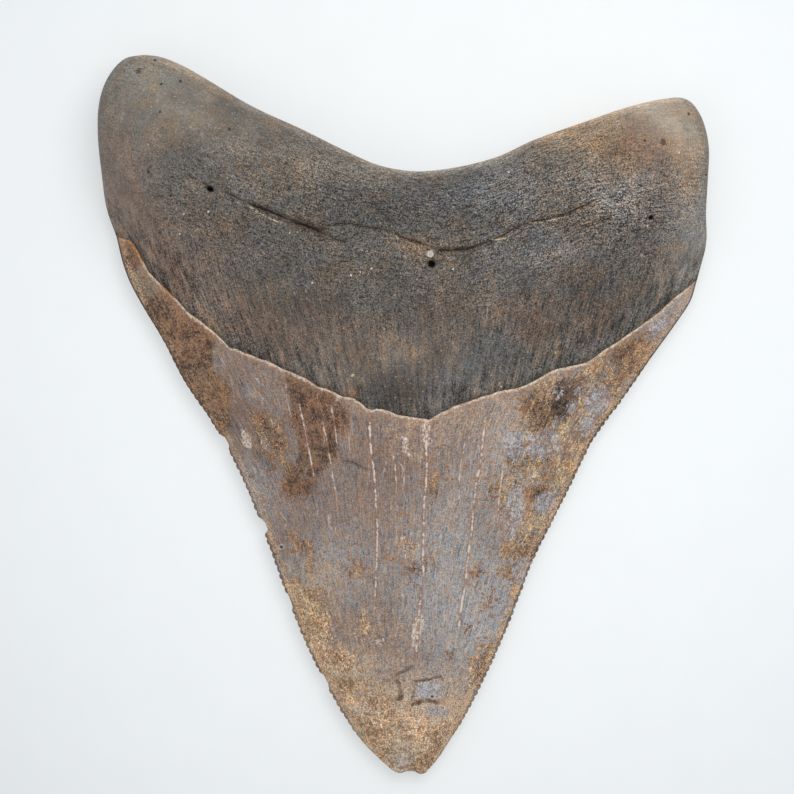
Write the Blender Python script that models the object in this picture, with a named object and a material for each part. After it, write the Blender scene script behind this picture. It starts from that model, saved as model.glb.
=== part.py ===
"""A fossil megalodon tooth, lying on its flatter labial face with the lingual face up.

The tooth is one solid. Two height fields, the lingual face above and the labial face below, share one
outline: a serrated cutting edge round the crown and a rounded rim round the root. The enamel ends in a low
ledge on both faces, a crease runs across the root, and three foramina are bored into it.

Frame: +X to the right, +Y from the crown's tip to the root, +Z up. The origin is under the middle of the
tooth's box, on the surface that it rests on. Sizes below are in millimetres, and MM makes them metres.
"""

import math

import bmesh
import bpy
import numpy as np
from mathutils import Matrix, Vector
from mathutils.bvhtree import BVHTree

MM = 0.001

# Outline, as (x, y). Each list runs from the tip towards the root, and the root's top from left to right.
LEFT_CUTTING_EDGE = [
    (-2.9, -43.4), (-5.2, -41.0), (-8.4, -36.0), (-11.1, -30.9), (-13.3, -25.9), (-15.2, -20.8),
    (-17.0, -15.8), (-18.9, -10.8), (-21.2, -5.7), (-24.1, -0.7), (-27.5, 4.3), (-30.1, 9.3),
    (-33.1, 14.3), (-34.4, 16.8), (-35.2, 19.0), (-36.0, 22.3),
]
RIGHT_CUTTING_EDGE = [
    (4.7, -42.8), (7.4, -38.4), (10.0, -33.3), (12.3, -28.3), (14.3, -23.3), (16.2, -18.3),
    (18.7, -13.3), (21.2, -8.3), (23.7, -3.2), (27.3, 1.8), (30.9, 6.8), (34.5, 11.8),
    (36.1, 14.3), (36.9, 16.9),
]
CHIPPED_TIP = [
    (-2.9, -43.4), (-2.2, -44.0), (-1.4, -44.7), (-0.4, -45.1), (0.3, -44.9), (1.4, -44.9),
    (2.0, -45.2), (2.7, -45.1), (3.5, -44.3), (4.7, -42.8),
]
LEFT_ROOT_SIDE = [
    (-36.0, 22.3), (-37.2, 25.8), (-37.7, 29.5), (-38.2, 36.8), (-37.6, 40.5), (-36.2, 43.1),
    (-34.6, 44.5), (-32.4, 44.9),
]
RIGHT_ROOT_SIDE = [
    (36.9, 16.9), (38.0, 21.5), (37.9, 25.5), (38.1, 30.0), (38.2, 33.0), (37.8, 35.5), (37.0, 37.6),
    (35.9, 39.0), (34.9, 39.5), (33.9, 39.6),
]
ROOT_TOP = [
    (-32.4, 44.9), (-30.2, 44.6), (-27.5, 43.5), (-24.7, 41.9), (-18.7, 38.3), (-12.7, 35.5),
    (-6.7, 32.5), (-3.0, 30.9), (0.9, 30.2), (4.9, 30.4), (11.4, 31.9), (15.9, 34.0), (21.9, 36.2),
    (27.9, 38.3), (31.4, 39.2), (33.9, 39.6),
]

# Lines across the faces, from left to right: the ends of the enamel, and the root's crease and middle.
LINGUAL_ENAMEL_LINE = [
    (-36.0, 22.3), (-33.6, 21.2), (-32.0, 18.0), (-28.7, 14.7), (-22.0, 8.7), (-16.9, 6.6),
    (-7.5, 2.1), (-4.4, 0.6), (3.0, -0.4), (5.7, 0.9), (14.8, 3.8), (20.0, 6.0), (24.2, 7.8),
    (29.0, 10.6), (33.8, 14.5), (36.9, 16.9),
]
LABIAL_ENAMEL_LINE = [
    (-36.0, 22.3), (-28.0, 17.6), (-18.0, 14.6), (0.0, 12.6), (20.0, 13.2), (30.0, 14.8), (36.9, 16.9),
]
LINGUAL_CREASE = [
    (-26.9, 29.9), (-20.8, 26.6), (-15.9, 24.5), (-9.5, 22.1), (-4.4, 22.3), (0.2, 21.4),
    (3.2, 20.1), (8.1, 20.3), (11.8, 21.5), (15.8, 23.5), (23.1, 26.2),
]
LABIAL_MIDDLE = [(-26.0, 30.0), (-12.0, 25.0), (1.0, 22.6), (14.0, 24.0), (27.0, 26.5)]
CREASE_MEETS_SIDE = 0.40  # share of each root side's length below the crease

# Heights, as (share of the way, height). The crown's run from the tip to the enamel line, and the root's on
# from there to the top.
CUTTING_EDGE_HEIGHT = [(0, 2.4), (0.3, 2.5), (0.7, 2.7), (1, 3.0)]
CROWN_LINGUAL_HEIGHT = [(0, 2.4), (0.06, 4.3), (0.18, 6.1), (0.34, 7.9), (0.56, 9.8), (0.78, 11.1), (1, 11.8)]
CROWN_LABIAL_HEIGHT = [
    (0, 2.4), (0.05, 1.4), (0.14, 0.55), (0.26, 0.02), (0.36, -0.08), (0.45, -0.02), (0.6, 0.3),
    (0.8, 0.9), (1, 1.6),
]
ROOT_MIDDLE_HEIGHT = [
    (0, 11.8), (0.12, 12.3), (0.3, 14.6), (0.5, 17.4), (0.66, 18.8), (0.85, 18.6), (1, 17.9),
]
ROOT_LOBE_HEIGHT = [(0, 11.8), (0.3, 12.0), (0.6, 12.3), (0.85, 11.7), (1, 11.0)]
ROOT_LABIAL_HEIGHT = [(0, 1.6), (0.5, 2.0), (1, 2.6)]
RIM_HEIGHT_AT_NOTCH, RIM_HEIGHT_AT_LOBES = 8.4, 5.6
LINGUAL_RIM_RADIUS, LABIAL_RIM_RADIUS = 7.5, 4.0
ROUNDED_FROM = 0.55  # share of the way up the root at which its rim is as round as these radii
LINGUAL_BLADE_POWER, LABIAL_BLADE_POWER = 1.05, 2.4  # how fully each face swells between the edges
LOBE_BLEND_POWER = 1.5  # how fast the root's height changes from its middle to its lobes

# Labial swelling of each lobe, which the tooth rests on. It is placed by shares of the half width and of the
# way up the root. It would reach below the surface by its sunk value, and so leaves a flat spot to rest on.
LOBE_REST = {"across": 0.70, "up": 0.58, "half_width": 0.30, "half_length": 0.40, "sunk": 0.3}

ENAMEL_LEDGE, ENAMEL_LEDGE_RUN = 0.35, 0.12
LEDGE_FADE_POWER = 8  # how near the cutting edges the ledge lasts
LEDGE_HEALS_BY = 0.5  # share of the way up the root at which the root has risen back over the ledge
CREASE_DEPTH, CREASE_HALF_SPAN = 0.35, 0.72
SERRATION_DEPTH = 0.28
SERRATIONS_PER_ROW = 2
SERRATION_PROFILE = (0.0, 0.85, 1.0)  # how far a serration stands out, from its valley over its shoulders
SERRATION_FADE = 0.08  # share of the edge over which serrations grow from nothing, at both of its ends
EDGE_POINTS_PER_ROW = SERRATIONS_PER_ROW * len(SERRATION_PROFILE)
# Chips that took a serration off the left cutting edge, as (y, depth).
LEFT_NICKS = [(-3.4, 0.30), (-14.0, 0.50), (-23.4, 0.10), (-33.4, 0.15)]
NICK_HALF_LENGTH = 1.1

# Nutrient holes of the root's lingual face, as (x, y, radius, depth).
FORAMINA = {
    "middle": (3.4, 18.4, 0.60, 1.6),
    "left": (-23.6, 27.6, 0.42, 1.2),
    "right": (30.5, 24.3, 0.32, 1.0),
}
FORAMEN_SIDES = 10
FORAMEN_FLOOR, FORAMEN_MOUTH = 0.55, 1.1  # radius at the floor and above the mouth, as shares of the radius
CUTTER_STAND = 0.6  # how far each foramen's cutter stands out of the surface

CROWN_ROWS, LOWER_ROOT_ROWS, UPPER_ROOT_ROWS, COLUMNS = 40, 11, 9, 32
EDGE_BUNCHING = 0.5  # 0 spaces the columns evenly, 1 crowds them against the edges as a cosine does
TOP_BUNCHING = 1.8  # above 1, the root's rows crowd towards its top
CREASE_AT = 0.62  # share of the way up the root at which the crease's row lies
CURVE_STEPS = 24  # dense points for each span of a curve


def clear_scene():
    for thing in list(bpy.data.objects):
        bpy.data.objects.remove(thing)


def curve_through(points):
    """Dense points of a centripetal Catmull-Rom curve through these points."""
    given = np.array(points, float)
    padded = np.vstack([2 * given[0] - given[1], given, 2 * given[-1] - given[-2]])
    dense = [given[0]]
    for a, b, c, d in zip(padded, padded[1:], padded[2:], padded[3:]):
        t1 = np.linalg.norm(b - a) ** 0.5
        t2 = t1 + np.linalg.norm(c - b) ** 0.5
        t3 = t2 + np.linalg.norm(d - c) ** 0.5
        for t in np.linspace(t1, t2, CURVE_STEPS + 1)[1:]:
            ab = a + (b - a) * t / t1
            bc = b + (c - b) * (t - t1) / (t2 - t1)
            cd = c + (d - c) * (t - t2) / (t3 - t2)
            abc = ab + (bc - ab) * t / t2
            bcd = bc + (cd - bc) * (t - t1) / (t3 - t1)
            dense.append(abc + (bcd - abc) * (t - t1) / (t2 - t1))
    return np.array(dense)


def along(dense, shares):
    """The points at these shares of a dense curve's length."""
    run = np.concatenate([[0], np.cumsum(np.linalg.norm(np.diff(dense, axis=0), axis=1))])
    return np.stack([np.interp(np.asarray(shares) * run[-1], run, dense[:, k]) for k in (0, 1)], axis=-1)


def smooth(low, high, value):
    t = np.clip((np.asarray(value) - low) / (high - low), 0, 1)
    return t * t * (3 - 2 * t)


def stations(table, shares):
    """Heights at these shares, on the smooth curve through a table of (share, height)."""
    dense = curve_through(table)
    return np.interp(shares, dense[:, 0], dense[:, 1])


def patch(bottom, top, left, right, across, up):
    """A Coons patch: the grid of points that blends four boundary rows and columns."""
    s, t = across[None, :, None], up[:, None, None]
    rows = (1 - t) * bottom[None] + t * top[None]
    columns = (1 - s) * left[:, None] + s * right[:, None]
    corners = (1 - t) * ((1 - s) * bottom[0] + s * bottom[-1]) + t * ((1 - s) * top[0] + s * top[-1])
    return rows + columns - corners


def row_shares():
    """The shares of the way up of the crown's rows, and those of the root's, the crease's row among them."""
    crown = np.linspace(0, 1, CROWN_ROWS + 1)
    lower = np.linspace(0, CREASE_AT, LOWER_ROOT_ROWS + 1)
    bunched = 1 - (1 - np.linspace(0, 1, UPPER_ROOT_ROWS + 1)) ** TOP_BUNCHING
    return crown, np.concatenate([lower, CREASE_AT + (1 - CREASE_AT) * bunched[1:]])


def side_shares(root_rows, side_length):
    """The root rows' shares of a side's length. The first row stands a ledge's run above the enamel."""
    lower = root_rows <= CREASE_AT
    below = root_rows / CREASE_AT * CREASE_MEETS_SIDE
    above = CREASE_MEETS_SIDE + (root_rows - CREASE_AT) / (1 - CREASE_AT) * (1 - CREASE_MEETS_SIDE)
    shares = np.where(lower, below, above)
    shares[0] = ENAMEL_LEDGE_RUN / side_length
    return shares


def cutting_edges_at(y):
    """The x of the left and of the right outline at these heights along the crown."""
    left = curve_through(LEFT_CUTTING_EDGE)
    right = np.vstack([curve_through(RIGHT_CUTTING_EDGE), curve_through(RIGHT_ROOT_SIDE)])
    return np.interp(y, left[:, 1], left[:, 0]), np.interp(y, right[:, 1], right[:, 0])


def crown_points(enamel, across, crown_rows):
    """The crown's (x, y) grid. Each column keeps its share of the width between the cutting edges."""
    tip = curve_through(CHIPPED_TIP)
    tip_y = np.interp(tip[0, 0] + (tip[-1, 0] - tip[0, 0]) * across, tip[:, 0], tip[:, 1])
    climbs = []
    for line in (LEFT_CUTTING_EDGE, RIGHT_CUTTING_EDGE):
        y = along(curve_through(line), crown_rows)[:, 1]
        climbs.append((y - y[0]) / (y[-1] - y[0]))
    climb = climbs[0][:, None] * (1 - across) + climbs[1][:, None] * across
    y = tip_y + (enamel[:, 1] - tip_y) * climb
    left, right = cutting_edges_at(y)
    return np.stack([left + (right - left) * across, y], axis=-1)


def spaced_as_crown(line, across):
    """The points where a line across the crown meets these shares of the width between the cutting edges."""
    dense = curve_through(line)
    left, right = cutting_edges_at(dense[:, 1])
    shares = (dense[:, 0] - left) / (right - left)
    return np.stack([np.interp(across, shares, dense[:, k]) for k in (0, 1)], axis=-1)


def face_points(enamel_line, root_line_through, across, crown_rows, root_rows):
    """The (x, y) of one face's vertices: the crown's rows, then the root's."""
    enamel = spaced_as_crown(enamel_line, across)
    crown = crown_points(enamel, across, crown_rows)

    sides = []
    for side in (LEFT_ROOT_SIDE, RIGHT_ROOT_SIDE):
        dense = curve_through(side)
        length = np.linalg.norm(np.diff(dense, axis=0), axis=1).sum()
        sides.append(along(dense, side_shares(root_rows, length)))
    left, right = sides
    foot = enamel + (0, ENAMEL_LEDGE_RUN)
    foot[0], foot[-1] = left[0], right[0]
    n = LOWER_ROOT_ROWS
    middle = along(curve_through([tuple(left[n]), *root_line_through, tuple(right[n])]), across)
    top = along(curve_through(ROOT_TOP), across)
    lower_up = root_rows[: n + 1] / CREASE_AT
    upper_up = (root_rows[n:] - CREASE_AT) / (1 - CREASE_AT)
    lower = patch(foot, middle, left[: n + 1], right[: n + 1], across, lower_up)
    upper = patch(middle, top, left[n:], right[n:], across, upper_up)
    return np.concatenate([crown, lower, upper[1:]])


def rim_rounding(points, radius):
    """0 on the root's outline, rising as a quarter circle to 1 at this distance inside it."""
    outline = np.vstack([curve_through(side) for side in (LEFT_ROOT_SIDE, ROOT_TOP, RIGHT_ROOT_SIDE)])
    gap = np.linalg.norm(points[..., None, :] - outline, axis=-1).min(axis=-1)
    return np.sqrt(1 - (1 - np.clip(gap / radius, 0, 1)) ** 2)


def heights(points, labial, across, crown_rows, root_rows):
    """The z of one face's vertices, in the order of face_points."""
    w = np.abs(2 * across - 1)[None]
    blade = 1 - w**LABIAL_BLADE_POWER if labial else (1 - w**2) ** LINGUAL_BLADE_POWER
    edge = stations(CUTTING_EDGE_HEIGHT, crown_rows)[:, None]
    crest = stations(CROWN_LABIAL_HEIGHT if labial else CROWN_LINGUAL_HEIGHT, crown_rows)[:, None]
    crown = edge + (crest - edge) * blade

    up = root_rows[:, None]
    ends = RIM_HEIGHT_AT_NOTCH + (RIM_HEIGHT_AT_LOBES - RIM_HEIGHT_AT_NOTCH) * w**LOBE_BLEND_POWER
    rim = edge[-1] + (ends - edge[-1]) * smooth(0, 1, up)
    if labial:
        crest = stations(ROOT_LABIAL_HEIGHT, root_rows)[:, None]
        x = (w - LOBE_REST["across"]) / LOBE_REST["half_width"]
        y = (up - LOBE_REST["up"]) / LOBE_REST["half_length"]
        crest = crest - (crest + LOBE_REST["sunk"]) * np.exp(-(x**2) - y**2)
    else:
        middle = stations(ROOT_MIDDLE_HEIGHT, root_rows)[:, None]
        lobes = stations(ROOT_LOBE_HEIGHT, root_rows)[:, None]
        crest = middle + (lobes - middle) * w**LOBE_BLEND_POWER
    root_points = points[len(crown_rows) :]
    rounding = rim_rounding(root_points, LABIAL_RIM_RADIUS if labial else LINGUAL_RIM_RADIUS)
    shape = blade + (rounding - blade) * smooth(0, ROUNDED_FROM, up)
    root = rim + (crest - rim) * shape

    ledge = ENAMEL_LEDGE * (1 - w**LEDGE_FADE_POWER) * (1 - smooth(0, LEDGE_HEALS_BY, up))
    root += ledge if labial else -ledge
    if not labial:
        root[LOWER_ROOT_ROWS] -= CREASE_DEPTH * (1 - smooth(CREASE_HALF_SPAN - 0.2, CREASE_HALF_SPAN, w[0]))
    together = np.concatenate([crown, root])
    together[:, [0, -1]] = np.concatenate([edge, rim[:, :1]])
    together[-1] = rim[-1]
    return np.maximum(together, 0) if labial else together


def serrated(line, outward, nicks):
    """The points (x, y, z) of a cutting edge with its serrations and nicks."""
    shares = np.linspace(0, 1, CROWN_ROWS * EDGE_POINTS_PER_ROW + 1)
    points = along(curve_through(line), shares)
    tangent = np.gradient(points, axis=0)
    tangent /= np.linalg.norm(tangent, axis=1)[:, None]
    normal = outward * np.stack([-tangent[:, 1], tangent[:, 0]], axis=1)
    stand = np.resize(SERRATION_PROFILE, len(shares)) * SERRATION_DEPTH
    stand *= smooth(0, SERRATION_FADE, shares) * smooth(0, SERRATION_FADE, 1 - shares)
    for y, depth in nicks:
        chipped = 1 - smooth(0.5, 1, np.abs(points[:, 1] - y) / NICK_HALF_LENGTH)
        stand = stand * (1 - chipped) - depth * chipped
    return np.column_stack([points + normal * stand[:, None], stations(CUTTING_EDGE_HEIGHT, shares)])


def fan_from_inside(bm, ring, shared_ones):
    """Triangles from one of a ring's inner vertices, so that no diagonal joins two on the outline."""
    start = next(i for i, vertex in enumerate(ring) if vertex not in shared_ones)
    turned = ring[start:] + ring[:start]
    for second, third in zip(turned[1:], turned[2:]):
        bm.faces.new((turned[0], second, third))


def face_grids(cut_edges):
    """The (x, y, z) grid of each face's vertices. Both have the same vertices round the outline."""
    even = np.linspace(0, 1, COLUMNS + 1)
    across = even + (0.5 - 0.5 * np.cos(math.pi * even) - even) * EDGE_BUNCHING
    crown_rows, root_rows = row_shares()
    grids = {}
    for name, enamel, through in (
        ("lingual", LINGUAL_ENAMEL_LINE, LINGUAL_CREASE),
        ("labial", LABIAL_ENAMEL_LINE, LABIAL_MIDDLE),
    ):
        flat = face_points(enamel, through, across, crown_rows, root_rows)
        z = heights(flat, name == "labial", across, crown_rows, root_rows)
        grids[name] = np.concatenate([flat, z[..., None]], axis=-1)
        for column, points in cut_edges.items():
            grids[name][: CROWN_ROWS + 1, column] = points[::EDGE_POINTS_PER_ROW]
    return grids


def tooth_mesh():
    """The tooth as one closed bmesh: the lingual and the labial face, sewn along their shared outline."""
    cut_edges = {
        0: serrated(LEFT_CUTTING_EDGE, 1, LEFT_NICKS),
        COLUMNS: serrated(RIGHT_CUTTING_EDGE, -1, []),
    }
    grids = face_grids(cut_edges)
    last_row = len(grids["lingual"]) - 1
    bm = bmesh.new()
    outline, vertices = {}, {}
    for name, grid in grids.items():
        for row, column in np.ndindex(grid.shape[:2]):
            if row in (0, last_row) or column in (0, COLUMNS):
                if (row, column) not in outline:
                    outline[row, column] = bm.verts.new(Vector(grid[row, column]) * MM)
                vertices[name, row, column] = outline[row, column]
            else:
                vertices[name, row, column] = bm.verts.new(Vector(grid[row, column]) * MM)

    between = {}
    for column, points in cut_edges.items():
        for row in range(CROWN_ROWS):
            start = row * EDGE_POINTS_PER_ROW
            inner = points[start + 1 : start + EDGE_POINTS_PER_ROW]
            between[row, column] = [bm.verts.new(Vector(point) * MM) for point in inner]

    shared_ones = set(outline.values()).union(*between.values())
    for name, grid in grids.items():
        for row, column in np.ndindex(last_row, COLUMNS):
            right = between.get((row, column + 1), [])
            left = between.get((row, column), [])
            ring = [vertices[name, row, column], vertices[name, row, column + 1], *right]
            ring += [vertices[name, row + 1, column + 1], vertices[name, row + 1, column], *reversed(left)]
            if name == "labial":
                ring.reverse()
            if shared_ones.isdisjoint(ring):
                bm.faces.new(ring)
            else:
                fan_from_inside(bm, ring, shared_ones)
    bmesh.ops.triangulate(bm, faces=bm.faces[:], quad_method="SHORT_EDGE")
    return bm


def material(name, colour, roughness):
    made = bpy.data.materials.new(name)
    made.use_nodes = True
    shader = made.node_tree.nodes["Principled BSDF"]
    shader.inputs["Base Color"].default_value = (*colour, 1)
    shader.inputs["Roughness"].default_value = roughness
    shader.inputs["Metallic"].default_value = 0
    return made


def add_object(name, bm):
    mesh = bpy.data.meshes.new(name)
    bm.to_mesh(mesh)
    bm.free()
    thing = bpy.data.objects.new(name, mesh)
    bpy.context.scene.collection.objects.link(thing)
    return thing


def bore_foramina(tooth, surface):
    """Cuts each foramen, a small pit that narrows with depth, straight down into the lingual face."""
    for name, (x, y, radius, depth) in FORAMINA.items():
        above = Vector((x, y, 100)) * MM
        mouth = surface.ray_cast(above, Vector((0, 0, -1)))[0]
        middle = mouth + Vector((0, 0, (CUTTER_STAND - depth) / 2)) * MM
        bm = bmesh.new()
        bmesh.ops.create_cone(
            bm,
            cap_ends=True,
            segments=FORAMEN_SIDES,
            radius1=radius * FORAMEN_FLOOR * MM,
            radius2=radius * FORAMEN_MOUTH * MM,
            depth=(depth + CUTTER_STAND) * MM,
            matrix=Matrix.Translation(middle),
        )
        cutter = add_object(f"foramen_cutter_{name}", bm)
        cutter.hide_render = True
        cutter.display_type = "WIRE"
        cut = tooth.modifiers.new(f"foramen_{name}", "BOOLEAN")
        cut.operation = "DIFFERENCE"
        cut.solver = "EXACT"
        cut.object = cutter


def main():
    clear_scene()
    bm = tooth_mesh()
    surface = BVHTree.FromBMesh(bm)
    tooth = add_object("tooth", bm)
    tooth.data.materials.append(material("fossil_tooth", (0.20, 0.155, 0.125), 0.55))
    tooth.data.shade_smooth()
    tooth.data.set_sharp_from_angle(angle=math.radians(40))
    bore_foramina(tooth, surface)


main()
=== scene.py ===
import math

import bmesh
import bpy
import numpy as np
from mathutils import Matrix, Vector, noise


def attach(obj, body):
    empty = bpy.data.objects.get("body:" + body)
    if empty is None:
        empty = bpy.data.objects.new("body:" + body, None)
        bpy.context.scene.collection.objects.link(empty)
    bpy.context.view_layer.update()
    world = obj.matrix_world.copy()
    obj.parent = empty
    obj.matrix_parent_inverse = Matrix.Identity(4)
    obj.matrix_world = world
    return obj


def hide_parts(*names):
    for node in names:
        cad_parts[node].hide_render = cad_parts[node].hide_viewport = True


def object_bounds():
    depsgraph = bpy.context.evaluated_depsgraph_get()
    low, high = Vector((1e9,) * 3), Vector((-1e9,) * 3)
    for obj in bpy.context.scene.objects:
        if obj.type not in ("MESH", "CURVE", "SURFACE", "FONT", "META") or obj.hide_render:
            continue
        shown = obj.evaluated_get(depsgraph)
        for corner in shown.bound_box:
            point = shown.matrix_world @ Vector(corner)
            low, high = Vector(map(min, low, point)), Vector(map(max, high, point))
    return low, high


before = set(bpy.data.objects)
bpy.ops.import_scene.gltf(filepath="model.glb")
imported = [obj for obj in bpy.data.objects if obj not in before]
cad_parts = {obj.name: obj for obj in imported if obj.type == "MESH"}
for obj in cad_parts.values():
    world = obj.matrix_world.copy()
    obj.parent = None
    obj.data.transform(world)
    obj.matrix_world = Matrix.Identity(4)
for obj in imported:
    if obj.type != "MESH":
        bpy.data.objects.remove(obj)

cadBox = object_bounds()
mm = 0.001
chance = np.random.default_rng(11)


def curveThrough(points, steps=24):  # centripetal Catmull-Rom curve
    given = np.array(points, float)
    padded = np.vstack([2 * given[0] - given[1], given, 2 * given[-1] - given[-2]])
    dense = [given[0]]
    for a, b, c, d in zip(padded, padded[1:], padded[2:], padded[3:]):
        t1 = np.linalg.norm(b - a) ** 0.5
        t2 = t1 + np.linalg.norm(c - b) ** 0.5
        t3 = t2 + np.linalg.norm(d - c) ** 0.5
        for t in np.linspace(t1, t2, steps + 1)[1:]:
            ab = a + (b - a) * t / t1
            bc = b + (c - b) * (t - t1) / (t2 - t1)
            cd = c + (d - c) * (t - t2) / (t3 - t2)
            abc = ab + (bc - ab) * t / t2
            bcd = bc + (cd - bc) * (t - t1) / (t3 - t1)
            dense.append(abc + (bcd - abc) * (t - t1) / (t2 - t1))
    return np.array(dense)


def along(dense, shares):  # points at these shares of a curve's length
    run = np.concatenate([[0], np.cumsum(np.linalg.norm(np.diff(dense, axis=0), axis=1))])
    return np.stack([np.interp(np.asarray(shares) * run[-1], run, dense[:, k]) for k in (0, 1)], axis=-1)


def smooth(low, high, value):
    t = np.clip((np.asarray(value) - low) / (high - low), 0, 1)
    return t * t * (3 - 2 * t)


def stations(table, shares):  # heights on the smooth curve through (share, height)
    dense = curveThrough(table)
    return np.interp(shares, dense[:, 0], dense[:, 1])


def bunched(count, amount):  # 0 to 1, with smaller steps at both ends
    even = np.linspace(0, 1, count + 1)
    return even + (0.5 - 0.5 * np.cos(math.pi * even) - even) * amount


def gridBetween(bottom, top, left, right, across, up):  # grid between four boundary lines
    s, t = across[None, :, None], up[:, None, None]
    rows = (1 - t) * bottom[None] + t * top[None]
    return rows + (left[:, None] - rows[:, :1]) * (1 - s) ** 2 + (right[:, None] - rows[:, -1:]) * s**2


def toLine(points, line):  # distance, signed offset and place along a polyline, then its length
    line = np.array(line, float)
    best = np.full(len(points), 1e9)
    offset = np.zeros(len(points))
    place = np.zeros(len(points))
    run = 0
    for a, b in zip(line, line[1:]):
        way = b - a
        length = np.linalg.norm(way)
        rel = points - a
        t = np.clip(rel @ way / length**2, 0, 1)
        gap = np.linalg.norm(rel - t[:, None] * way, axis=1)
        side = np.sign(way[0] * rel[:, 1] - way[1] * rel[:, 0])
        nearer = gap < best
        best = np.where(nearer, gap, best)
        offset = np.where(nearer, gap * side, offset)
        place = np.where(nearer, run + t * length, place)
        run += length
    return best, offset, place, run


def inside(points, polygon):
    x, y = points[:, 0], points[:, 1]
    crossed = np.zeros(len(points), bool)
    for (ax, ay), (bx, by) in zip(polygon, polygon[1:] + polygon[:1]):
        if ay != by:
            crossed ^= ((ay > y) != (by > y)) & (x < (bx - ax) * (y - ay) / (by - ay) + ax)
    return crossed


def rough(points, size, seed):  # soft noise of about -1 to 1
    return np.array([noise.noise(Vector((x / size, y / size, seed))) for x, y in points])


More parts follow.
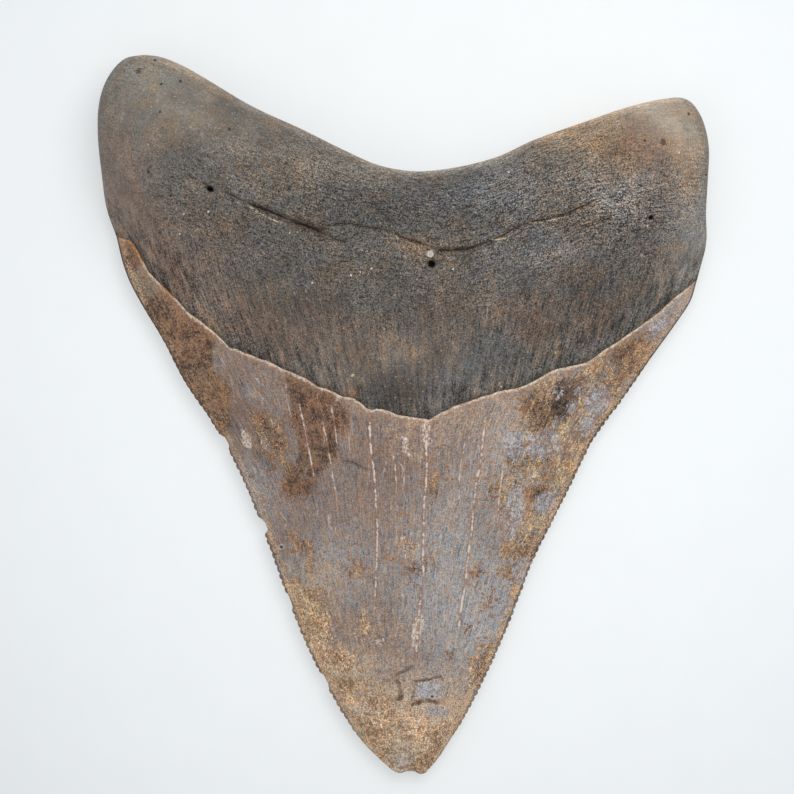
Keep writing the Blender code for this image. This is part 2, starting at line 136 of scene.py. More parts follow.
# the tooth's shape in millimetres, with the tip towards -Y and the lingual face up
shape = {
    "leftEdge": [
        (-2.9, -43.4), (-5.2, -41.0), (-8.4, -36.0), (-11.1, -30.9), (-13.3, -25.9), (-15.2, -20.8),
        (-17.0, -15.8), (-18.9, -10.8), (-21.2, -5.7), (-24.1, -0.7), (-27.5, 4.3), (-30.1, 9.3),
        (-33.1, 14.3), (-34.4, 16.8), (-35.2, 19.0), (-36.0, 22.3)],
    "rightEdge": [
        (4.7, -42.8), (7.4, -38.4), (10.0, -33.3), (12.3, -28.3), (14.3, -23.3), (16.2, -18.3),
        (18.7, -13.3), (21.2, -8.3), (23.7, -3.2), (27.3, 1.8), (30.9, 6.8), (34.5, 11.8),
        (36.1, 14.3), (36.9, 16.9)],
    "tip": [
        (-2.9, -43.4), (-2.2, -44.0), (-1.4, -44.7), (-0.4, -45.1), (0.3, -44.9), (1.4, -44.9),
        (2.0, -45.2), (2.7, -45.1), (3.5, -44.3), (4.7, -42.8)],
    "leftRoot": [
        (-36.0, 22.3), (-37.2, 25.8), (-37.7, 29.5), (-38.2, 36.8), (-37.6, 40.5), (-36.2, 43.1),
        (-34.6, 44.5), (-32.4, 44.9)],
    "rightRoot": [
        (36.9, 16.9), (38.0, 21.5), (37.9, 25.5), (38.1, 30.0), (38.2, 33.0), (37.8, 35.5), (37.0, 37.6),
        (35.9, 39.0), (34.9, 39.5), (33.9, 39.6)],
    "rootTop": [
        (-32.4, 44.9), (-30.2, 44.6), (-27.5, 43.5), (-24.7, 41.9), (-18.7, 38.3), (-12.7, 35.5),
        (-6.7, 32.5), (-3.0, 30.9), (0.9, 30.2), (4.9, 30.4), (11.4, 31.9), (15.9, 34.0), (21.9, 36.2),
        (27.9, 38.3), (31.4, 39.2), (33.9, 39.6)],
    "lingualEnamel": [
        (-36.0, 22.3), (-35.0, 22.0), (-34.2, 21.8), (-33.4, 20.9), (-32.9, 19.8), (-32.5, 18.8),
        (-31.7, 17.6), (-30.3, 16.3), (-29.5, 15.4), (-28.6, 14.7), (-27.4, 13.4), (-26.8, 12.6),
        (-25.7, 12.0), (-24.6, 11.1), (-23.2, 10.0), (-22.4, 9.2), (-21.7, 8.3), (-20.7, 8.2),
        (-19.6, 7.6), (-18.8, 7.4), (-17.9, 6.9), (-17.1, 6.8), (-16.1, 6.3), (-14.8, 5.6), (-13.9, 5.3),
        (-13.0, 4.9), (-11.9, 4.4), (-11.0, 3.8), (-10.5, 3.4), (-9.7, 3.3), (-8.5, 2.8), (-7.5, 2.2),
        (-6.5, 2.2), (-5.7, 1.8), (-4.9, 1.2), (-4.2, 0.5), (-3.2, 0.8), (-2.1, 0.6), (-0.8, 0.0),
        (0.6, -0.2), (1.9, -0.4), (2.7, -0.5), (3.4, -0.6), (4.2, 0.1), (5.2, 0.5), (6.3, 1.1),
        (7.6, 1.5), (8.8, 1.9), (9.8, 2.3), (10.8, 2.5), (11.6, 2.9), (12.9, 3.1), (13.8, 3.2),
        (14.7, 3.5), (15.7, 3.9), (16.6, 4.4), (17.6, 5.0), (18.7, 5.6), (19.8, 5.8), (21.1, 6.1),
        (22.5, 6.4), (23.2, 6.7), (24.2, 7.4), (25.1, 8.1), (26.5, 8.9), (28.0, 10.0), (29.3, 10.8),
        (30.9, 12.0), (32.4, 13.1), (33.7, 14.4), (35.3, 15.6), (36.9, 16.9)],
    "labialEnamel": [
        (-36.0, 22.3), (-32.4, 19.6), (-28.0, 17.6), (-23.2, 16.2), (-18.0, 14.6), (-11.0, 13.6),
        (-5.0, 12.9), (0.0, 12.6), (6.0, 13.1), (13.0, 12.9), (20.0, 13.2), (26.0, 13.9), (30.0, 14.8),
        (33.8, 15.6), (36.9, 16.9)],
    "lingualCrease": [
        (-27.0, 29.8), (-24.3, 28.2), (-20.5, 26.6), (-16.9, 25.0), (-13.8, 23.7), (-10.5, 22.4),
        (-7.6, 21.9), (-4.2, 22.3), (-1.3, 22.1), (1.2, 20.9), (3.8, 20.3), (6.0, 20.0), (9.0, 20.6),
        (11.8, 21.7), (15.0, 23.3), (19.8, 24.5), (23.1, 26.0)],
    "labialMiddle": [(-26.0, 30.0), (-12.0, 25.0), (1.0, 22.6), (14.0, 24.0), (27.0, 26.5)],
    "creaseMeetsSide": 0.40,
    "creaseAt": 0.62,
    # (share of the way from tip to enamel line, or on from there to the root's top, height)
    "edgeHeight": [(0, 2.4), (0.3, 2.5), (0.7, 2.7), (1, 3.0)],
    "crownLingual": [(0, 2.4), (0.06, 4.3), (0.18, 6.1), (0.34, 7.9), (0.56, 9.8), (0.78, 11.1), (1, 11.8)],
    "crownLabial": [
        (0, 2.4), (0.05, 1.4), (0.14, 0.55), (0.26, 0.02), (0.36, -0.08), (0.45, -0.02), (0.6, 0.3),
        (0.8, 0.9), (1, 1.6)],
    "rootMiddle": [(0, 11.8), (0.12, 12.3), (0.3, 14.6), (0.5, 17.4), (0.66, 18.6), (0.85, 18.5), (1, 17.8)],
    "rootLobes": [(0, 11.8), (0.3, 12.0), (0.6, 12.3), (0.85, 11.7), (1, 11.0)],
    "rootLabial": [(0, 1.6), (0.5, 2.0), (1, 2.6)],
    "rimAtNotch": 8.4,
    "rimAtLobes": 5.6,
    "lingualRim": 7.5,
    "labialRim": 4.0,
    "roundedFrom": 0.55,
    "lingualBlade": 1.05,
    "labialBlade": 2.4,
    "lobeBlend": 1.5,
    "lobeRest": {"across": 0.70, "up": 0.58, "halfWidth": 0.30, "halfLength": 0.40, "sunk": 0.3},
    "ledge": 0.30,
    "ledgeRun": 0.05,
    "ledgeHealsBy": 0.5,
    "serrations": 80,
    "serrationDepth": 0.19,
    "serrationUneven": 0.25,
    "serrationFades": (1, 0.55, 0.25, 0.1),  # share of a serration that each column from the edge inwards has
    "leftEdgeWornFrom": (0.45, 1.0),  # shares of the edge, from the tip
    "rightEdgeWornFrom": (0.74, 0.84),
    "beadHeight": 0.10,  # ridges that the serrations carry onto the lingual face
    "beadReach": 0.55,
    "chips": [(-3.4, 0.30), (-14.0, 0.50), (-23.4, 0.10), (-33.4, 0.15)],  # (y, depth) on the left edge
    "chipHalf": 1.1,
    "columns": 100,
    "lowerRows": 60,
    "upperRows": 40,
    "firstStep": 0.3,  # of a row: how far up the side the root's foot starts
    "pits": [  # foramina: x, y, radius across and along, tilt in degrees, depth
        (3.42, 18.35, 0.52, 0.46, 0, 1.5), (-23.55, 27.55, 0.46, 0.36, -25, 1.2),
        (30.3, 24.2, 0.34, 0.28, 20, 0.9)],
    "closeUps": [(3.35, 18.9, 1.5), (-23.55, 27.55, 0.9), (30.3, 24.2, 0.8), (2.9, -44.7, 0.8)],
}
rowsPerSerration = 4
crownRows = shape["serrations"] * rowsPerSerration


def edgesAt(y):  # x of the left and right outline at these heights
    left = curveThrough(shape["leftEdge"])
    right = np.vstack([curveThrough(shape["rightEdge"]), curveThrough(shape["rightRoot"])])
    return np.interp(y, left[:, 1], left[:, 0]), np.interp(y, right[:, 1], right[:, 0])


def spacedAsCrown(line, across):
    dense = curveThrough(line, 12)
    left, right = edgesAt(dense[:, 1])
    shares = np.maximum.accumulate((dense[:, 0] - left) / (right - left))
    return np.stack([np.interp(across, shares, dense[:, k]) for k in (0, 1)], axis=-1)


def crownGrid(enamel, across, shares):
    tip = curveThrough(shape["tip"])
    tipY = np.interp(tip[0, 0] + (tip[-1, 0] - tip[0, 0]) * across, tip[:, 0], tip[:, 1])
    climbs = []
    for edge in ("leftEdge", "rightEdge"):
        y = along(curveThrough(shape[edge]), shares)[:, 1]
        climbs.append((y - y[0]) / (y[-1] - y[0]))
    climb = climbs[0][:, None] * (1 - across) + climbs[1][:, None] * across
    y = tipY + (enamel[:, 1] - tipY) * climb
    left, right = edgesAt(y)
    return np.stack([left + (right - left) * across, y], axis=-1)


def rootGrid(enamel, through, across, shares):
    n = shape["lowerRows"]
    at, side = shape["creaseAt"], shape["creaseMeetsSide"]
    lines = []
    for name in ("leftRoot", "rightRoot"):
        onSide = np.where(shares <= at, shares / at * side, side + (shares - at) / (1 - at) * (1 - side))
        onSide[0] = shape["firstStep"] * onSide[1]
        lines.append(along(curveThrough(shape[name]), onSide))
    left, right = lines
    foot = enamel + (0, shape["ledgeRun"])
    foot[0], foot[-1] = left[0], right[0]
    middle = along(curveThrough([tuple(left[n]), *through, tuple(right[n])]), across)
    top = along(curveThrough(shape["rootTop"]), across)
    lower = gridBetween(foot, middle, left[: n + 1], right[: n + 1], across, shares[: n + 1] / at)
    upper = gridBetween(middle, top, left[n:], right[n:], across, (shares[n:] - at) / (1 - at))
    return np.concatenate([lower, upper[1:]])


def rimRounding(points, radius):
    left, top, right = (curveThrough(shape[name], 12) for name in ("leftRoot", "rootTop", "rightRoot"))
    gap = toLine(points.reshape(-1, 2), np.vstack([left, top[1:], right[-2::-1]]))[0]
    return np.sqrt(1 - (1 - np.clip(gap.reshape(points.shape[:-1]) / radius, 0, 1)) ** 2)


def faceHeights(root, labial, across, crownShares, rootShares):
    w = np.abs(2 * across - 1)[None]
    blade = 1 - w ** shape["labialBlade"] if labial else (1 - w**2) ** shape["lingualBlade"]
    edge = stations(shape["edgeHeight"], crownShares)[:, None]
    crest = stations(shape["crownLabial" if labial else "crownLingual"], crownShares)[:, None]
    crown = edge + (crest - edge) * blade

    up = rootShares[:, None]
    blend = w ** shape["lobeBlend"]
    ends = shape["rimAtNotch"] + (shape["rimAtLobes"] - shape["rimAtNotch"]) * blend
    rim = edge[-1] + (ends - edge[-1]) * smooth(0, 1, up)
    if labial:
        rest = shape["lobeRest"]
        crest = stations(shape["rootLabial"], rootShares)[:, None]
        x = (w - rest["across"]) / rest["halfWidth"]
        y = (up - rest["up"]) / rest["halfLength"]
        crest = crest - (crest + rest["sunk"]) * np.exp(-(x**2) - y**2)
    else:
        middle = stations(shape["rootMiddle"], rootShares)[:, None]
        lobes = stations(shape["rootLobes"], rootShares)[:, None]
        crest = middle + (lobes - middle) * blend
    rounding = rimRounding(root, shape["labialRim" if labial else "lingualRim"])
    body = blade + (rounding - blade) * smooth(0, shape["roundedFrom"], up)
    z = rim + (crest - rim) * body
    ledge = shape["ledge"] * (1 - w**8) * (1 - smooth(0, shape["ledgeHealsBy"], up))
    z += ledge if labial else -ledge
    z[:, [0, -1]] = rim[:, :1]
    z[-1] = rim[-1]
    crown[:, [0, -1]] = edge
    together = np.concatenate([crown, z])
    return np.maximum(together, 0) if labial else together


def serrate(grid, edgeName, first, inward, outward):  # beads along one cutting edge
    points = grid[: crownRows + 1, first, :2].copy()
    tangent = np.gradient(points, axis=0)
    tangent /= np.linalg.norm(tangent, axis=1)[:, None]
    normal = outward * np.stack([-tangent[:, 1], tangent[:, 0]], axis=1)
    place = np.arange(crownRows + 1) / rowsPerSerration
    sizes = 1 + shape["serrationUneven"] * chance.uniform(-1, 1, shape["serrations"] + 1)
    bead = np.abs(np.sin(math.pi * place)) ** 0.75 * sizes[place.astype(int)]
    shares = place / shape["serrations"]
    wear = smooth(0.02, 0.10, shares) * (1 - smooth(*shape[edgeName + "WornFrom"], shares))
    stand = shape["serrationDepth"] * bead * wear
    ridge = (bead - 0.5) * wear
    if outward > 0:
        for y, depth in shape["chips"]:
            gone = 1 - smooth(0.5, 1, np.abs(points[:, 1] - y) / shape["chipHalf"])
            stand = stand * (1 - gone) - depth * gone
            ridge = ridge * (1 - gone) - 0.3 * gone
    for k, share in enumerate(shape["serrationFades"]):
        grid[: crownRows + 1, first + k * inward, :2] += normal * (stand * share)[:, None]
    return ridge


across = bunched(shape["columns"], 0.5)
crownShares = np.linspace(0, 1, crownRows + 1)
lowerShares = bunched(shape["lowerRows"], 0.8) * shape["creaseAt"]
upperShares = shape["creaseAt"] + (1 - shape["creaseAt"]) * bunched(shape["upperRows"], 0.7)
rootShares = np.concatenate([lowerShares, upperShares[1:]])

grids, ridges = {}, {}
for name, labial in (("lingual", False), ("labial", True)):
    enamel = spacedAsCrown(shape[name + "Enamel"], across)
    crown = crownGrid(enamel, across, crownShares)
    root = rootGrid(enamel, shape["labialMiddle" if labial else "lingualCrease"], across, rootShares)
    z = faceHeights(root, labial, across, crownShares, rootShares)
    grids[name] = np.concatenate([np.concatenate([crown, root]), z[..., None]], axis=-1)
beforeBeads = chance.bit_generator.state
for name in grids:
    chance.bit_generator.state = beforeBeads
    ridges[name] = (
        serrate(grids[name], "leftEdge", 0, 1, 1),
        serrate(grids[name], "rightEdge", -1, -1, -1),
    )
rowCount = crownRows + 1 + len(rootShares)
print("grid", rowCount, "rows of", shape["columns"] + 1)


# All marks below are in millimetres. Pale hairlines in the enamel: half width, strength, then points.
# The lines of one set lie apart, because each vertex keeps only the nearest line of a set.
hairlines = {
    "hairA": [
        (0.13, 1.0, [(-13.0, 1.9), (-12.2, -1.7), (-11.9, -3.4), (-11.4, -6.0), (-11.0, -8.0)]),
        (0.11, 0.8, [(-8.9, 1.3), (-8.5, -1.2), (-8.1, -4.0)]),
        (0.10, 0.8, [(-1.3, -1.2), (-1.3, -3.7), (-1.0, -6.5), (-0.8, -9.8)]),
        (0.15, 1.0, [
            (3.0, -0.7), (2.8, -3.7), (2.9, -5.9), (2.8, -8.8), (2.6, -10.4), (2.5, -13.0), (2.5, -15.6),
            (2.4, -18.3), (2.6, -20.3)]),
        (0.09, 0.65, [(7.7, -2.9), (7.0, -6.5), (6.9, -10.2), (6.6, -11.8), (6.6, -16.0)]),
        (0.11, 0.9, [(12.4, -6.0), (12.1, -8.5), (11.8, -11.2), (11.8, -12.7), (11.6, -14.6)]),
    ],
    "hairB": [
        (0.10, 0.85, [(-10.0, -0.7), (-9.5, -3.0), (-9.0, -5.8), (-8.7, -7.7), (-8.3, -9.8), (-8.2, -11.7)]),
        (0.13, 1.0, [
            (-4.2, 0.5), (-4.1, -2.3), (-3.9, -5.1), (-3.6, -7.0), (-3.4, -9.8), (-3.2, -13.4), (-3.3, -18.4),
            (-3.4, -19.6), (-3.5, -22.6), (-3.6, -24.6)]),
        (0.11, 0.8, [(0.4, -3.3), (0.3, -5.0), (0.1, -5.6), (0.1, -8.9)]),
        (0.14, 1.0, [
            (10.1, -0.1), (9.7, -4.9), (9.5, -6.4), (9.0, -8.2), (8.8, -10.5), (8.6, -12.5), (8.5, -14.3),
            (8.2, -16.3), (7.9, -18.7), (7.8, -20.7), (7.4, -22.6), (7.1, -25.2), (6.9, -27.1)]),
        (0.07, 0.5, [(-10.7, -10.7), (-10.7, -12.1), (-10.6, -12.9)]),
        (0.08, 0.6, [(-16.6, 0.5), (-16.2, -1.7)]),
        (0.07, 0.35, [(5.9, -4.3), (5.7, -8.5)]),
    ],
    "hairC": [
        (0.08, 0.5, [(-10.7, 2.6), (-10.4, 0.8)]),
        (0.09, 0.6, [(-6.8, -2.3), (-6.5, -5.5)]),
        (0.17, 1.0, [(2.2, -20.4), (2.1, -23.3), (2.0, -24.6), (1.8, -26.4), (1.7, -28.6), (1.6, -30.7)]),
        (0.08, 0.6, [(-8.3, -13.2), (-8.5, -15.7)]),
        (0.08, 0.6, [(-14.6, 4.3), (-14.5, 2.3), (-13.9, -0.3)]),
    ],
}
# short pale or brown strokes all over the crown: where they lie, how far apart, and which way they run
strokes = {
    "columns": 16, "rows": 18, "left": -24.0, "bottom": -40.0, "apart": 3.0, "jitter": 0.7,
    "length": (0.8, 3.0), "lean": 14, "bend": 0.25, "half": (0.05, 0.09), "strength": (0.25, 0.75),
    "pale": 0.6,
    "clear": ((-3, 6.5), (-38, -30)),  # no strokes among the brown lines near the tip
}
dice = np.random.default_rng(21)
hairlines["hairD"] = [  # brown lines near the tip, then the strokes
    (0.17, -1.0, [(-1.2, -32.5), (0.2, -31.8), (1.5, -31.0)]),
    (0.16, -1.0, [(0.8, -33.2), (2.7, -33.0), (4.6, -32.6), (5.1, -33.4)]),
    (0.12, -0.8, [(1.1, -33.3), (1.4, -34.6), (0.8, -36.3)]),
    (0.26, -1.0, [(0.3, -36.4), (1.2, -36.0), (2.7, -35.6), (4.9, -36.0)]),
    (0.24, -0.9, [(-1.4, -35.6), (-0.2, -35.2), (-0.5, -33.6), (-1.2, -32.5)]),
]
for row in range(strokes["rows"]):
    for column in range(strokes["columns"]):
        jitter = dice.uniform(-strokes["jitter"], strokes["jitter"], 2)
        x = strokes["left"] + strokes["apart"] * column + jitter[0]
        y = strokes["bottom"] + strokes["apart"] * row + jitter[1]
        lean = math.radians(dice.normal(0, strokes["lean"])) + x * 0.01
        length = dice.uniform(*strokes["length"])
        bend = dice.uniform(-strokes["bend"], strokes["bend"]) * length
        half = dice.uniform(*strokes["half"])
        strength = dice.uniform(*strokes["strength"]) * (1 if dice.uniform() < strokes["pale"] else -1)
        way = np.array([math.sin(lean), math.cos(lean)]) * length / 2
        side = np.array([way[1], -way[0]]) / length * 2 * bend
        middle = np.array([x, y])
        if not all(low < value < high for value, (low, high) in zip(middle, strokes["clear"])):
            hairlines["hairD"].append((half, strength, [middle - way, middle + side, middle + way]))
# dark open seams: half width, depth, then points
seams = [
    (0.10, 0.06, [(-27.0, 29.8), (-25.8, 29.0), (-24.3, 28.2), (-23.0, 27.5)]),
    (0.12, 0.12, [(-22.4, 27.4), (-20.5, 26.6), (-19.0, 25.8)]),
    (0.20, 0.35, [(-19.0, 25.8), (-16.9, 25.0), (-15.3, 24.4), (-13.8, 23.6)]),
    (0.26, 0.50, [(-13.8, 23.6), (-12.8, 23.3), (-11.5, 22.9), (-10.5, 22.4), (-9.5, 22.0)]),
    (0.15, 0.25, [(-9.5, 22.0), (-8.5, 21.4), (-7.6, 21.1), (-6.8, 20.9)]),
    (0.08, 0.18, [(-9.5, 22.9), (-8.3, 23.1), (-6.5, 23.2), (-4.0, 22.7), (-1.6, 22.4)]),
    (0.09, 0.22, [(-1.6, 22.4), (-0.4, 21.6), (1.2, 21.1), (2.5, 20.6), (3.8, 20.2)]),
    (0.17, 0.28, [(3.8, 20.3), (4.6, 19.9), (6.0, 20.0), (7.8, 20.1), (9.0, 20.6), (9.9, 20.9)]),
    (0.13, 0.18, [
        (9.9, 20.9), (10.9, 21.3), (11.8, 21.7), (12.7, 22.2), (13.6, 22.9), (15.0, 23.3), (16.3, 23.6),
        (18.0, 23.9)]),
    (0.16, 0.20, [(18.0, 23.9), (19.8, 24.5), (21.0, 25.1), (21.7, 25.4), (23.1, 26.0)]),
    (0.09, 0.10, [(21.0, 22.5), (21.9, 22.8), (22.8, 23.0), (24.2, 23.6), (25.5, 24.3)]),
    (0.13, 0.12, [(-7.8, -5.8), (-7.2, -5.6), (-6.3, -5.8), (-5.3, -6.3), (-4.4, -6.9)]),
]
fibres = [
    (0.12, 1.0, [(-19.0, 25.6), (-17.8, 24.7), (-16.7, 24.2)]),
    (0.10, 0.8, [(-16.7, 24.2), (-15.6, 23.6), (-14.6, 23.3)]),
    (0.07, 0.6, [(10.5, 21.2), (11.7, 21.3), (12.9, 21.6)]),
    (0.11, 0.8, [(-1.2, 22.1), (-0.6, 21.4)]), (0.10, 0.7, [(0.6, 20.6), (1.2, 20.1)]),
    (0.08, 0.9, [(15.1, 23.3), (16.6, 23.4), (18.0, 23.7), (19.8, 24.2)]),
]

